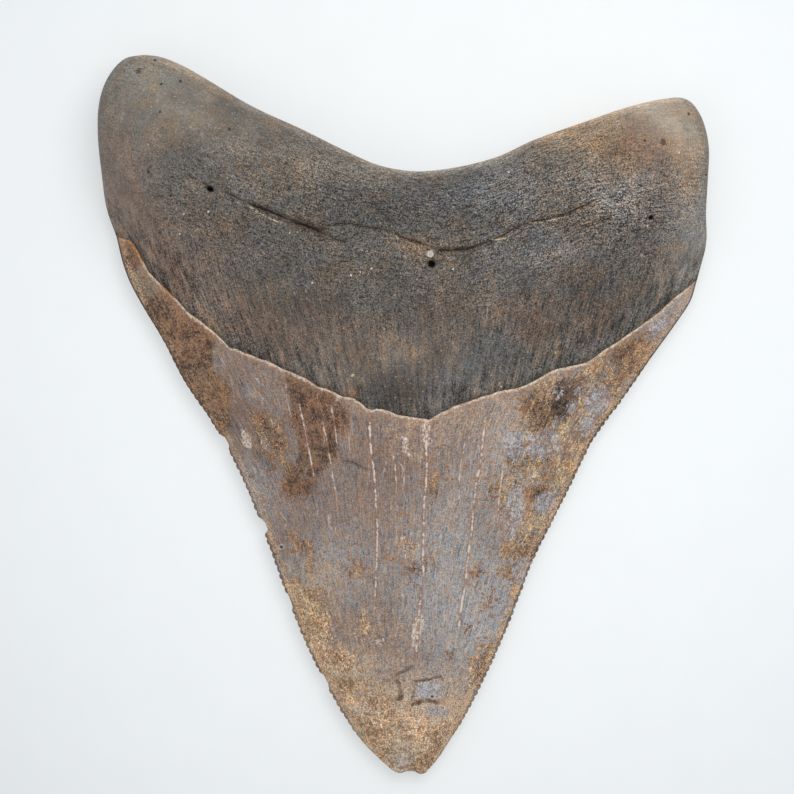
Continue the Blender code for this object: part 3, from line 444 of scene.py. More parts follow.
# stains with an edge: closed outlines
stains = {
    "umber": [
        [(-14.6, -7.4), (-13.4, -6.9), (-12.4, -7.6), (-10.8, -7.9), (-10.7, -8.5), (-12.0, -10.1),
         (-13.4, -10.2), (-14.7, -9.8)],
        [(-14.6, 5.1), (-14.0, 5.1), (-12.4, 4.5), (-10.5, 3.3), (-9.0, 2.8), (-7.7, 2.2), (-7.1, 1.6),
         (-6.7, 0.0), (-6.9, -1.6), (-7.9, -2.4), (-8.2, -5.3), (-9.1, -6.0), (-10.7, -8.0), (-12.8, -7.9),
         (-13.3, -6.3), (-12.9, -4.4), (-13.2, -2.8), (-13.7, -1.3), (-13.9, -0.3), (-14.0, 1.5),
         (-14.3, 3.0), (-14.8, 4.1)],
        [(-35.8, 22.3), (-34.8, 22.0), (-33.4, 20.9), (-32.9, 19.8), (-32.7, 18.6), (-34.3, 18.1),
         (-35.0, 18.7), (-35.5, 20.7)],
        [(5.6, -29.6), (6.3, -29.5), (6.1, -30.7), (5.7, -30.8)],
    ],
    "rust": [
        [(-17.6, 0.2), (-16.2, -0.4), (-15.1, -0.4), (-14.4, -2.0), (-14.5, -4.4), (-15.2, -6.2),
         (-16.0, -5.6), (-16.8, -3.6), (-17.6, -2.2)],
        [(-15.4, -6.6), (-14.7, -7.4), (-15.1, -8.6), (-14.9, -10.1), (-14.1, -10.3), (-13.1, -10.2),
         (-13.1, -7.2), (-14.0, -6.2), (-14.7, -5.4)],
        [(-19.2, 0.3), (-18.1, 0.4), (-17.4, 0.2), (-16.0, -0.5), (-15.0, -0.4), (-14.2, -1.4), (-15.2, -2.2),
         (-16.6, -1.9), (-17.6, -2.0), (-17.2, -3.4), (-17.6, -4.4), (-18.4, -3.6), (-18.9, -1.7)],
        [(-18.3, -3.9), (-17.6, -4.3), (-16.9, -4.5), (-16.2, -4.3), (-16.4, -5.3), (-17.1, -5.6),
         (-17.9, -5.2)],
        [(-17.1, -6.2), (-15.9, -6.0), (-15.9, -6.9), (-16.1, -7.3), (-16.9, -6.7)],
        [(-14.7, -14.6), (-14.3, -14.8), (-13.4, -15.3), (-13.4, -15.8), (-14.0, -15.8), (-14.5, -15.3)],
        [(-13.4, -15.8), (-12.5, -16.0), (-11.9, -16.4), (-12.0, -17.1), (-12.7, -17.4), (-13.2, -16.7)],
        [(-12.3, -16.6), (-11.9, -16.8), (-11.8, -16.0), (-11.2, -16.2), (-11.1, -16.9), (-11.4, -18.1),
         (-11.8, -19.2), (-12.3, -18.9), (-12.0, -18.2)],
        [(-6.7, -19.0), (-6.4, -18.6), (-4.9, -18.6), (-4.6, -19.3), (-5.6, -19.9), (-6.5, -20.1),
         (-7.1, -19.8)],
        [(15.9, -4.7), (18.7, -4.8), (19.0, -6.6), (18.9, -8.1), (18.1, -10.0), (16.7, -10.3), (16.0, -12.0),
         (15.5, -13.7), (14.6, -12.3), (14.5, -11.3), (12.9, -8.9), (13.2, -8.6), (15.5, -8.6), (17.2, -8.6),
         (17.7, -7.4), (17.1, -5.4)],
        [(12.7, -4.7), (13.5, -5.0), (13.7, -6.4), (14.8, -6.9), (14.5, -7.4), (13.2, -7.1), (12.6, -6.0)],
        [(10.6, -9.3), (11.0, -9.0), (11.7, -9.1), (11.6, -10.0), (10.9, -10.2)],
        [(14.6, 2.6), (15.7, 3.3), (17.2, 3.0), (18.5, 3.7), (19.8, 4.8), (21.7, 5.0), (22.1, 3.7),
         (21.4, 2.6), (20.6, 0.9), (20.3, -1.0), (18.8, -0.6), (18.0, -1.9), (16.5, -2.3), (14.8, -0.9),
         (14.4, 0.4)],
        [(24.7, 7.6), (27.0, 8.4), (28.2, 9.7), (29.9, 10.1), (30.9, 9.0), (31.6, 7.9), (30.1, 5.6),
         (28.1, 4.5), (26.4, 3.7), (26.3, 6.0), (25.2, 7.1)],
        [(23.6, 5.6), (24.5, 5.8), (25.2, 5.1), (25.0, 3.8), (23.9, 4.1)],
        [(11.3, -16.2), (12.7, -15.8), (14.6, -15.8), (16.4, -16.4), (16.2, -17.8), (14.0, -18.0),
         (12.1, -17.6)],
        [(8.1, -19.9), (8.8, -19.3), (10.1, -19.2), (10.1, -19.9), (8.8, -20.4)],
        [(11.8, -19.9), (13.1, -18.7), (14.7, -19.0), (14.4, -20.5), (13.1, -20.9)],
        [(10.1, -23.7), (11.2, -21.9), (11.5, -22.2), (10.5, -24.1)],
        [(7.4, -26.6), (8.0, -26.5), (8.1, -27.0), (7.7, -27.1)],
        [(2.6, -17.8), (3.3, -17.8), (3.5, -18.4), (3.1, -18.9), (2.6, -18.7)],
        [(0.4, -19.2), (1.3, -18.4), (2.6, -18.7), (2.3, -19.4), (1.1, -19.7)],
        [(3.0, -7.5), (4.0, -7.3), (4.4, -8.0), (4.3, -9.8), (3.5, -10.1), (3.2, -9.0)],
    ],
    "ochre": [
        [(-14.3, -20.8), (-12.9, -22.0), (-11.4, -21.7), (-9.4, -21.9), (-9.6, -23.1), (-10.6, -24.2),
         (-10.4, -26.0), (-11.9, -26.4), (-13.7, -24.6), (-14.7, -22.1)],
        [(28.4, 2.5), (26.4, 0.0), (24.8, -2.6), (23.5, -4.8), (22.4, -7.4), (21.2, -9.8), (20.0, -12.2),
         (18.9, -14.6), (17.8, -17.0), (16.8, -19.4), (15.8, -21.8), (14.8, -24.2), (13.8, -26.8),
         (12.6, -29.3), (11.2, -31.8), (10.2, -33.6), (9.0, -32.6), (10.6, -29.4), (12.6, -26.6),
         (13.4, -24.4), (14.2, -21.8), (14.6, -19.0), (14.4, -16.6), (15.8, -14.4), (17.2, -11.4),
         (18.2, -9.2), (19.2, -6.2), (20.0, -4.4), (21.4, -1.3), (23.2, 1.6)],
        [(17.1, 5.0), (21.4, 3.7), (24.2, 7.4), (27.8, 9.3), (29.7, 8.1), (27.5, 3.3), (24.7, -1.3),
         (22.0, -6.0), (20.0, -10.7), (19.2, -15.8), (17.2, -19.5), (14.7, -24.1), (13.8, -26.0),
         (13.6, -20.1), (13.8, -16.3), (12.7, -13.1), (11.6, -9.6), (12.4, -6.8), (13.5, -4.6), (14.7, -2.4),
         (15.3, 0.6), (15.7, 3.3)],
    ],
    "spot": [
        [(-0.5, -16.2), (0.4, -15.2), (1.3, -15.6), (1.3, -16.7), (0.4, -17.4)],
        [(-5.9, -25.4), (-4.7, -25.0), (-4.0, -26.9), (-5.0, -27.9)],
        [(-9.0, -29.6), (-7.8, -29.0), (-6.8, -30.6), (-8.2, -31.4)],
        [(-7.6, -35.8), (-6.6, -36.2), (-4.9, -39.4), (-2.6, -42.2), (-1.8, -43.8), (-2.9, -43.2),
         (-5.4, -40.4)],
        [(-5.5, -38.4), (-4.7, -38.3), (-3.4, -39.2), (-2.8, -40.1), (-3.2, -40.7), (-4.2, -40.3),
         (-5.2, -39.4)],
        [(2.3, -39.0), (3.6, -38.7), (4.9, -39.3), (5.0, -40.4), (4.4, -41.1), (3.4, -40.5), (2.6, -39.9)],
        [(2.3, -42.4), (4.1, -42.6), (4.2, -43.6), (3.2, -44.4), (2.1, -43.8)],
        [(-8.6, -33.4), (-7.2, -32.8), (-6.0, -33.6), (-6.2, -34.9), (-7.4, -35.0)],
        [(-1.8, -37.2), (-1.0, -37.2), (-0.6, -38.4), (-1.4, -38.6)],
        [(7.8, -30.2), (9.6, -29.9), (10.9, -31.0), (10.2, -32.4), (9.2, -33.0), (8.3, -31.8)],
    ],
    "honey": [
        [(-15.2, -20.6), (-12.5, -22.5), (-11.4, -22.7), (-10.2, -24.2), (-9.1, -25.0), (-8.9, -28.2),
         (-9.7, -29.0), (-7.9, -29.5), (-6.1, -30.0), (-5.9, -31.6), (-6.9, -32.6), (-8.2, -32.0),
         (-9.4, -31.8), (-11.0, -30.9), (-12.3, -28.4), (-13.7, -24.6)],
        [(-9.2, -32.3), (-7.8, -32.7), (-5.9, -33.2), (-5.9, -35.1), (-2.4, -35.8), (-1.4, -38.0),
         (-3.9, -39.3), (-5.7, -37.7), (-7.3, -35.8), (-8.8, -34.1)],
        [(-3.5, -39.2), (-1.2, -37.8), (0.8, -38.8), (2.6, -39.0), (4.6, -38.6), (6.4, -38.9),
         (4.9, -41.5), (4.4, -42.8), (3.4, -44.5), (2.6, -45.1), (1.6, -45.0), (-0.2, -44.8), (-1.7, -44.2),
         (-3.2, -42.4), (-5.2, -40.7)],
        [(9.2, -29.6), (10.6, -28.6), (12.2, -29.6), (10.4, -33.2), (8.6, -34.8), (8.2, -32.4)],
    ],
    "cream": [
        [(-17.9, -2.6), (-17.0, -2.2), (-16.9, -4.0), (-17.6, -4.4)],
        [(15.4, -7.4), (16.6, -6.9), (16.8, -8.2), (16.2, -9.2), (15.6, -8.8)],
        [(-1.4, -38.9), (0.4, -38.4), (1.4, -39.6), (1.2, -41.4), (0.0, -41.8), (-1.0, -40.6)],
        [(-1.6, -42.4), (-0.4, -40.9), (1.0, -41.0), (1.6, -42.6), (0.9, -44.2), (0.3, -44.9), (-1.0, -45.0),
         (-2.2, -44.2)],
        [(-7.2, -36.4), (-5.0, -36.0), (-3.0, -37.0), (-3.4, -38.4), (-5.0, -38.0)],
    ],
    "tan": [
        [(-6.4, -24.6), (-3.4, -23.0), (-1.0, -24.6), (0.4, -28.2), (-0.4, -31.0), (-3.6, -32.4),
         (-5.6, -30.4), (-6.8, -27.4)],
        [(-2.6, -1.2), (1.6, -1.0), (6.8, 0.2), (9.6, 1.4), (9.2, -1.8), (6.6, -4.0), (2.4, -6.0),
         (-1.6, -4.4)],
        [(9.8, 2.0), (14.2, 3.2), (14.6, 0.4), (13.2, -3.0), (10.6, -2.6)],
        [(-9.8, -33.8), (-6.4, -34.6), (-3.2, -34.2), (0.2, -36.6), (3.4, -38.0), (6.6, -37.6), (8.6, -34.4),
         (6.4, -33.0), (2.4, -37.4), (-1.4, -35.8), (-5.8, -32.4)],
    ],
    "slate": [
        [(22.8, 2.9), (25.2, 3.6), (26.3, 2.0), (25.0, 0.0), (22.9, 0.6)],
        [(22.2, -0.6), (24.0, -0.2), (24.4, -2.2), (22.8, -3.2), (21.9, -2.0)],
        [(15.6, -2.6), (18.9, -2.3), (20.0, -4.2), (17.9, -5.6), (15.6, -4.8)],
        [(20.3, 1.6), (21.3, 1.8), (21.6, 0.6), (20.4, 0.1)],
        [(18.6, 3.3), (19.5, 3.4), (19.7, 2.6), (18.8, 2.2)],
        [(12.8, -1.8), (14.6, -2.2), (15.0, -4.8), (13.5, -5.8), (12.5, -4.0)],
        [(13.3, -9.1), (15.0, -8.9), (15.1, -12.5), (13.6, -15.7), (12.5, -13.1)],
        [(16.6, -10.2), (18.7, -9.7), (19.2, -11.5), (17.7, -12.7), (16.4, -11.7)],
        [(14.0, -18.2), (15.9, -17.8), (16.4, -20.2), (14.7, -21.6), (13.4, -20.1)],
        [(30.9, 11.6), (32.2, 12.7), (33.3, 12.5), (32.7, 10.9), (31.4, 10.1)],
        [(1.6, -33.4), (3.3, -33.3), (4.8, -33.5), (4.8, -35.0), (3.3, -35.2), (1.7, -35.3)],
        [(2.6, -36.6), (4.1, -36.4), (5.7, -36.8), (5.5, -37.7), (3.3, -37.5)],
    ],
    "sepia": [
        [(-30.8, 15.6), (-29.5, 15.2), (-27.3, 13.0), (-25.2, 11.7), (-23.2, 9.5), (-23.7, 8.0), (-23.9, 5.5),
         (-22.4, 4.8), (-21.4, 3.2), (-21.8, 1.0), (-21.4, -1.2), (-22.4, -3.4), (-24.6, -2.6),
         (-26.1, 0.5), (-28.8, 4.7), (-30.3, 7.7), (-33.2, 12.9)],
    ],
    "olive": [
        [(-34.9, 18.0), (-32.5, 18.1), (-31.2, 16.7), (-30.8, 15.6), (-31.4, 14.7), (-31.9, 13.7),
         (-32.8, 13.0), (-34.2, 15.1), (-34.9, 16.6)],
    ],
    "soot": [
        [(18.6, 3.3), (19.6, 4.3), (20.9, 4.0), (21.8, 2.8), (21.3, 1.2), (20.7, 0.2), (20.5, -1.0),
         (19.3, -0.9), (18.8, 0.6), (18.5, 1.8)],
    ],
    "pale": [
        [(-1.0, -43.2), (0.0, -42.4), (0.9, -43.0), (0.5, -44.6), (-0.9, -44.8)],
        [(1.1, -26.1), (1.6, -25.1), (2.3, -24.9), (2.6, -25.9), (2.1, -27.2), (2.0, -28.6), (1.1, -28.6)],
        [(-3.3, -28.0), (-2.8, -27.6), (-2.4, -28.0), (-2.8, -28.5)],
        [(-20.4, -1.9), (-19.7, -1.7), (-18.9, -3.2), (-19.2, -4.4), (-20.0, -3.9)],
        [(2.7, -0.7), (3.3, -0.8), (3.3, -3.2), (2.9, -3.9), (2.5, -3.6)],
        [(-0.2, -2.7), (0.6, -2.9), (0.5, -4.8), (0.2, -5.2), (-0.1, -4.4)],
    ],
    "amber": [
        [(-30.6, 16.1), (-29.2, 14.9), (-28.3, 14.2), (-28.2, 14.6), (-29.4, 15.9), (-30.4, 16.8)],
        [(-34.9, 22.2), (-33.2, 21.3), (-32.2, 18.9), (-32.7, 18.4), (-33.5, 20.3), (-34.9, 21.5)],
    ],
}

# soft tints of the tooth's own colour, set under this stage's lamps, so they also carry some painted light
# and shade: x, y, half sizes, tilt in degrees, tone, amount
tones = {
    "slate": (92, 89, 86), "stone": (104, 98, 92), "tan": (139, 126, 111), "ash": (141, 138, 131),
    "clay": (124, 98, 82), "sand": (180, 168, 153), "honey": (150, 123, 94), "smoke": (80, 76, 74),
    "steel": (108, 110, 112), "mauve": (143, 127, 118), "pearl": (156, 152, 151), "fawn": (142, 124, 112),
    "biscuit": (200, 172, 142), "plum": (133, 117, 110), "opal": (172, 169, 169), "wheat": (214, 182, 146),
    "russet": (122, 100, 88), "dusk": (58, 53, 51), "linen": (226, 200, 172),
}
rootTints = [
    (-31.0, 38.0, 9.0, 8.0, 0, "tan", 0.55), (-32.5, 41.5, 6.0, 4.5, -30, "ash", 0.60),
    (-27.0, 36.8, 8.0, 3.0, -28, "tan", 0.60), (-35.5, 27.0, 2.6, 8.0, 5, "clay", 0.75),
    (-30.0, 21.0, 3.0, 7.0, 25, "clay", 0.70), (-24.0, 15.5, 5.0, 3.5, -40, "clay", 0.55),
    (-12.0, 30.5, 7.0, 2.5, -25, "tan", 0.50), (-17.0, 10.5, 5.0, 2.5, -30, "clay", 0.55),
    (0.0, 26.5, 14.0, 2.6, 0, "slate", 0.90), (-0.5, 4.0, 4.5, 2.0, 0, "smoke", 0.85),
    (12.0, 27.8, 7.0, 1.8, 18, "steel", 0.40), (16.0, 19.5, 6.0, 3.2, 10, "steel", 0.55),
    (-6.0, 8.5, 7.0, 3.5, 0, "clay", 0.35), (19.0, 14.5, 7.0, 2.6, 25, "clay", 0.30),
    (27.0, 14.0, 6.0, 3.0, 30, "smoke", 0.35), (9.0, 5.5, 6.0, 2.6, 15, "steel", 0.30),
    (27.0, 29.5, 8.0, 3.5, 20, "tan", 0.45), (24.0, 35.0, 7.0, 3.0, 15, "honey", 0.60),
    (31.5, 37.0, 4.5, 3.0, 0, "sand", 0.85), (29.0, 32.3, 4.5, 2.4, 10, "clay", 0.55),
    (34.5, 32.0, 3.0, 6.0, 0, "sand", 0.45), (35.8, 24.0, 2.6, 5.5, 0, "ash", 0.70),
    (33.5, 18.5, 3.0, 3.5, 20, "ash", 0.40), (-36.0, 26.5, 3.0, 6.0, 5, "tan", 0.45),
    (-24.5, 14.5, 5.0, 3.5, -40, "tan", 0.30), (-6.5, 7.5, 6.0, 3.0, 0, "tan", 0.25),
    (-1.0, 24.0, 8.0, 1.8, 0, "smoke", 0.45), (20.0, 15.0, 6.0, 3.0, 15, "slate", 0.40),
    (-0.2, 2.6, 3.2, 1.4, 0, "smoke", 0.75), (31.0, 36.6, 3.5, 2.4, 0, "sand", 0.35),
    (27.3, 32.6, 2.2, 0.9, 10, "smoke", 0.60), (29.0, 21.0, 4.0, 2.6, 10, "stone", 0.50),
    (-21.5, 23.0, 4.5, 2.5, -20, "stone", 0.50), (-27.5, 32.0, 5.0, 3.0, -10, "slate", 0.55),
    (18.0, 33.6, 8.0, 1.2, 18, "tan", 0.45), (3.0, 30.4, 8.0, 0.9, 3, "ash", 0.55),
    (-34.5, 27.0, 3.5, 7.0, 5, "fawn", 0.60), (-25.5, 21.5, 4.5, 4.0, -20, "fawn", 0.35),
    (-0.4, 2.8, 3.4, 2.0, 0, "dusk", 0.45), (11.0, 26.5, 5.0, 2.2, 10, "steel", 0.50),
    (-3.5, 25.3, 5.0, 1.4, -10, "dusk", 0.35), (18.0, 19.5, 4.0, 1.8, 10, "pearl", 0.25),
    (22.0, 13.5, 5.0, 2.4, 25, "dusk", 0.30), (12.0, 10.0, 2.4, 2.0, 15, "steel", 0.40),
    (-24.5, 15.0, 4.0, 3.0, -40, "fawn", 0.25), (-12.5, 30.5, 5.0, 3.0, 0, "tan", 0.30),
    (13.5, 28.0, 4.0, 3.0, 10, "pearl", 0.25), (26.5, 26.5, 5.0, 3.5, 20, "pearl", 0.45),
    (24.5, 34.5, 5.0, 3.0, 15, "wheat", 0.25), (32.5, 37.0, 4.0, 3.0, 0, "sand", 0.30),
    (35.5, 31.5, 3.0, 4.0, 0, "wheat", 0.22), (35.8, 23.0, 3.0, 4.0, 0, "pearl", 0.35),
    (33.0, 18.0, 3.5, 3.0, 20, "fawn", 0.40), (9.5, 14.0, 4.0, 3.0, 0, "fawn", 0.20),
    (0.5, 5.5, 4.0, 2.5, 0, "fawn", 0.20), (-17.5, 10.0, 3.0, 2.0, -30, "smoke", 0.20),
    (-0.6, 4.6, 1.1, 2.0, 0, "smoke", 0.7), (0.6, 7.6, 1.8, 0.9, 0, "biscuit", 0.30),
    (-2.0, 10.0, 1.0, 2.2, 0, "biscuit", 0.18), (1.0, 20.4, 2.8, 1.1, -15, "honey", 0.50),
    (-6.0, 2.9, 0.9, 1.2, 0, "honey", 0.6), (-10.0, 12.0, 3.0, 4.0, 0, "clay", 0.35),
    (4.0, 12.5, 2.5, 4.0, 0, "clay", 0.30), (15.0, 11.5, 3.0, 2.5, 20, "clay", 0.45),
    (-4.0, 29.0, 4.0, 1.6, -15, "tan", 0.40), (7.5, 25.0, 4.0, 1.8, 10, "smoke", 0.35),
    (-10.0, 25.5, 4.0, 2.0, -25, "slate", 0.40), (10.5, 6.0, 1.4, 2.4, 0, "smoke", 0.35),
    (14.0, 7.4, 1.0, 2.2, 0, "smoke", 0.40), (24.0, 11.5, 4.0, 2.0, 30, "clay", 0.40),
    (24.6, 35.0, 3.0, 2.5, 15, "smoke", 0.14), (29.6, 33.6, 3.0, 2.5, 10, "clay", 0.50),
    (36.1, 23.1, 2.5, 3.0, 0, "sand", 0.16), (-27.8, 38.1, 4.0, 3.0, -25, "slate", 0.25),
    (-0.4, 2.6, 1.6, 1.2, 0, "dusk", 0.25), (28.5, 34.0, 7.0, 4.5, 15, "honey", 0.30),
    (28.6, 33.2, 3.5, 2.6, 10, "russet", 0.45),
    (33.0, 28.0, 4.0, 4.0, 0, "clay", 0.25), (-32.0, 41.0, 5.0, 4.0, -30, "ash", 0.25),
]
# where the root's grain is worn smooth, or stands out more where the amount is below 0
smoothed = [
    (-30.0, 38.0, 11.0, 8.0, 0, 0.65), (-35.0, 25.0, 5.0, 11.0, 0, 0.50), (-22.0, 36.5, 9.0, 4.0, -25, 0.40),
    (33.0, 36.0, 7.0, 6.0, 0, 0.75), (35.5, 20.0, 3.0, 7.0, 0, 0.40), (27.0, 24.0, 9.0, 6.0, 15, -0.40),
    (14.0, 26.0, 8.0, 5.0, 15, -0.25), (0.0, 6.0, 14.0, 5.5, 0, 0.50), (-15.0, 12.0, 8.0, 4.0, -30, 0.30),
    (-1.0, 27.0, 10.0, 5.0, 0, -0.25),
]
crownTints = [
    (8.0, -18.0, 8.0, 12.0, 0, "pearl", 0.85), (6.0, -25.0, 6.0, 6.0, 0, "pearl", 0.70),
    (-10.0, -12.0, 5.0, 6.0, 0, "plum", 0.45), (-10.5, -19.0, 4.0, 4.0, 0, "pearl", 0.60),
    (-19.0, -10.0, 3.0, 4.0, 0, "pearl", 0.40), (10.0, -9.0, 4.0, 5.0, 0, "pearl", 0.55),
    (14.0, -8.0, 5.0, 8.0, 20, "fawn", 0.50), (17.0, 1.0, 7.0, 3.0, 20, "fawn", 0.60),
    (33.0, 13.0, 5.0, 2.2, 45, "pearl", 0.60), (28.0, 7.0, 5.0, 2.5, 40, "fawn", 0.50),
    (2.0, -36.0, 9.0, 4.0, 0, "biscuit", 0.60), (0.0, -42.0, 8.0, 4.0, 0, "biscuit", 0.90),
    (4.0, -34.5, 3.0, 2.6, 0, "pearl", 0.60), (-4.0, -30.0, 5.0, 4.0, 0, "fawn", 0.55),
    (-12.5, -26.0, 3.0, 6.0, -15, "biscuit", 0.70), (15.5, -16.0, 2.5, 14.0, 22, "biscuit", 0.55),
    (-3.0, -1.5, 7.0, 2.5, 0, "fawn", 0.60), (-17.5, 5.0, 4.0, 2.0, -30, "fawn", 0.50),
    (4.5, -5.0, 5.0, 4.0, 0, "fawn", 0.40), (-7.0, -21.0, 4.0, 3.0, 0, "pearl", 0.40),
    (6.0, -3.2, 3.5, 3.0, 0, "plum", 0.50), (-1.5, -4.5, 5.0, 3.5, 0, "russet", 0.60),
    (4.7, -18.0, 4.0, 5.0, 0, "opal", 0.35), (-8.0, -18.0, 4.0, 4.0, 0, "opal", 0.30),
    (-18.5, -9.5, 3.0, 4.0, 0, "opal", 0.30), (10.2, -13.3, 2.5, 4.0, 0, "mauve", 0.50),
    (9.5, -28.0, 3.0, 6.0, 0, "opal", 0.60), (12.8, -22.5, 2.5, 5.0, 20, "opal", 0.50),
    (35.0, 15.0, 3.0, 2.5, 45, "opal", 0.45), (3.4, -34.5, 3.0, 2.0, 0, "opal", 0.60),
    (16.0, -6.0, 5.0, 10.0, 15, "opal", 0.70), (21.0, 2.5, 6.0, 3.5, 25, "opal", 0.60),
    (8.5, -25.0, 5.0, 8.0, 0, "opal", 0.50), (1.0, -43.0, 5.0, 3.0, 0, "wheat", 0.60),
    (-1.6, -8.0, 3.0, 3.5, 0, "russet", 0.50), (-20.6, 0.5, 1.8, 4.5, -8, "russet", 0.85),
    (-19.0, 2.2, 0.8, 2.2, 0, "pearl", 0.5), (0.0, -39.0, 8.0, 4.0, 0, "wheat", 0.50),
    (-12.0, -25.0, 2.5, 5.0, -20, "wheat", 0.50),
    (9.4, -27.5, 2.5, 4.0, 0, "opal", 0.45), (12.8, -22.6, 1.5, 3.0, 0, "opal", 0.60),
    (-1.7, -4.4, 2.5, 2.5, 0, "plum", 0.45), (9.4, -28.2, 2.0, 2.5, 0, "opal", 0.40),
    (17.7, -6.9, 2.0, 3.0, 0, "russet", 0.35), (28.4, 8.1, 3.0, 2.0, 40, "pearl", 0.40),
    (-11.4, -24.7, 1.8, 2.8, -20, "russet", 0.45), (-7.6, -31.4, 2.6, 2.2, 0, "biscuit", 0.60),
    (6.0, -36.2, 3.0, 3.0, 0, "wheat", 0.30), (2.3, -37.6, 2.4, 1.2, 0, "opal", 0.40),
    (-4.1, -34.4, 2.0, 1.6, 0, "biscuit", 0.45), (-0.4, -34.4, 2.0, 1.6, 0, "biscuit", 0.30),
    (0.0, -42.0, 8.0, 4.0, 0, "linen", 0.60), (2.6, -38.0, 4.0, 2.0, 0, "linen", 0.50),
    (-6.8, -31.6, 3.0, 2.4, 0, "linen", 0.45), (-4.0, -38.5, 3.0, 2.4, 0, "linen", 0.45),
    (-3.0, -31.0, 2.0, 1.6, 0, "opal", 0.40), (-7.4, -34.2, 2.4, 2.2, 0, "linen", 0.25),
]
# small round marks: radius in millimetres, then where they are
specks = {
    "white": (0.12, [
        (-3.9, 17.8), (-11.1, 16.1), (6.0, 17.7), (-27.5, 22.3), (-23.8, 24.8), (-26.9, 24.6), (12.1, 3.5),
        (-13.8, 22.1), (12.8, 29.7), (29.9, 23.1), (33.9, 32.2), (-6.4, 17.0)]),
    "cream": (0.17, [(18.9, 7.7), (-6.2, 4.9)]),
    "dark": (0.17, [
        (-30.8, 43.9), (-29.8, 40.6), (-27.4, 41.1), (-14.2, 30.6), (-21.2, 34.9), (-29.8, 37.1),
        (-31.2, 29.7), (-28.2, 29.1), (-30.1, 22.5), (-28.5, 26.8), (-16.3, 22.3), (24.0, 24.2),
        (20.5, 21.2), (26.3, 21.3), (15.8, 32.9), (15.1, 29.5), (35.3, 37.2), (37.6, 29.8), (29.6, 33.6)]),
    "brown": (0.45, [(-32.6, 42.3), (31.9, 33.6)]),
    "ring": (0.20, [(-15.3, -16.6), (3.6, -35.2)]),
    "spill": (0.34, [(-6.2, 2.6), (-7.8, 8.2)]),
}
labialStains = {
    "umber": [
        [(6.0, 9.0), (7.4, 9.6), (8.6, 8.8), (10.0, 9.5), (11.2, 7.6), (10.6, 5.2), (11.4, 3.0), (9.8, 1.6),
         (9.9, -1.2), (8.2, -3.4), (7.7, -0.6), (6.4, 1.4), (7.0, 3.6), (5.4, 5.2), (6.3, 7.2)],
        [(-14.0, -4.0), (-13.0, -4.4), (-12.4, -6.2), (-12.9, -8.9), (-13.6, -9.4), (-14.3, -7.4)],
    ],
    "rust": [
        [(-26.0, 9.0), (-23.6, 8.2), (-21.8, 10.2), (-19.2, 9.4), (-17.6, 7.6), (-18.4, 5.0), (-15.8, 3.4),
         (-17.6, 1.2), (-19.2, 2.6), (-20.4, -0.8), (-22.6, -2.2), (-22.0, 1.2), (-24.4, 3.2), (-23.8, 5.6),
         (-26.4, 6.8)],
        [(12.0, -14.0), (13.6, -13.2), (15.2, -14.4), (14.6, -16.4), (16.0, -18.6), (14.2, -20.2),
         (13.6, -23.2), (11.8, -24.0), (11.9, -21.0), (10.4, -19.2), (12.2, -17.0)],
        [(-3.0, -30.0), (-1.4, -29.2), (0.8, -29.9), (1.2, -31.6), (3.0, -32.8), (0.8, -33.4), (-0.6, -32.6),
         (-2.6, -34.6), (-3.2, -32.2)],
    ],
    "ochre": [
        [(-4.0, -38.5), (2.0, -37.0), (6.0, -39.0), (3.5, -44.0), (0.0, -45.0), (-2.5, -43.5)],
        [(28.0, 13.0), (33.0, 13.5), (27.0, 4.0), (22.0, -3.0), (21.0, 1.0)],
    ],
    "slate": [
        [(-3.2, 5.0), (-2.0, 6.8), (-0.4, 6.0), (0.8, 7.6), (2.0, 6.2), (1.4, 3.6), (3.0, 1.4), (1.0, 0.8),
         (0.6, -3.6), (-0.8, -2.2), (-1.4, 0.6), (-3.4, 1.8), (-2.4, 3.4)],
    ],
    "sepia": [[(24.0, 13.0), (34.0, 14.0), (30.0, 6.5), (26.0, 2.0)]],
}
labialLines = {
    "hairA": [
        (0.12, 0.9, [(-9.0, 9.0), (-8.0, 1.0), (-7.0, -9.0), (-5.0, -20.0)]),
        (0.10, 0.7, [(7.0, 10.0), (6.5, 0.0), (5.5, -9.0)]),
        (0.08, 0.6, [(16.0, 8.0), (14.5, 0.0), (13.0, -8.0)]),
    ],
    "hairB": [
        (0.13, 1.0, [(1.0, 11.5), (1.5, 2.0), (1.0, -12.0), (1.5, -26.0)]),
        (0.09, 0.6, [(-16.0, 8.0), (-14.0, -2.0), (-12.0, -12.0)]),
    ],
}
print("marks ready")


relief = {  # low relief on the grid, in millimetres
    "swell": (0.16, 5.5),  # height and size of slow waves on the root
    "lumps": (0.05, 1.3),
    "crownSwell": (0.05, 6.0),
    "grain": (3.22, 19.55, 0.50, 0.42, 0.45),  # cream grain stuck at the middle pit: x, y, radii, height
    "blemish": [  # shallow marks on the root: x, y, radii, tilt, depth
        (-33.2, 42.0, 0.7, 0.35, 35, 0.20), (27.3, 32.4, 1.6, 0.5, 8, 0.12), (24.4, 30.6, 0.7, 0.3, 0, 0.1)],
    "knob": (2.45, -44.55, 0.40, 0.35),  # at the chipped tip: x, y, radius, height
    "lip": (0.16, 0.35),  # how far the enamel dips at its end, and over what width
    "pitDish": 0.12,  # shallow dish around each pit
    "clear": 0.004,  # kept inside the box of the plain tooth
}


def inRadii(points, x, y, rx, ry, tilt):  # distance from an ellipse's middle: 1 is on the ellipse
    turn = math.radians(tilt)
    dx, dy = points[:, 0] - x, points[:, 1] - y
    return np.hypot(
        (dx * math.cos(turn) + dy * math.sin(turn)) / rx, (dy * math.cos(turn) - dx * math.sin(turn)) / ry)


def bump(points, *ellipse):  # 1 in the middle of an ellipse, 0 well outside
    return np.exp(-(inRadii(points, *ellipse) ** 2))


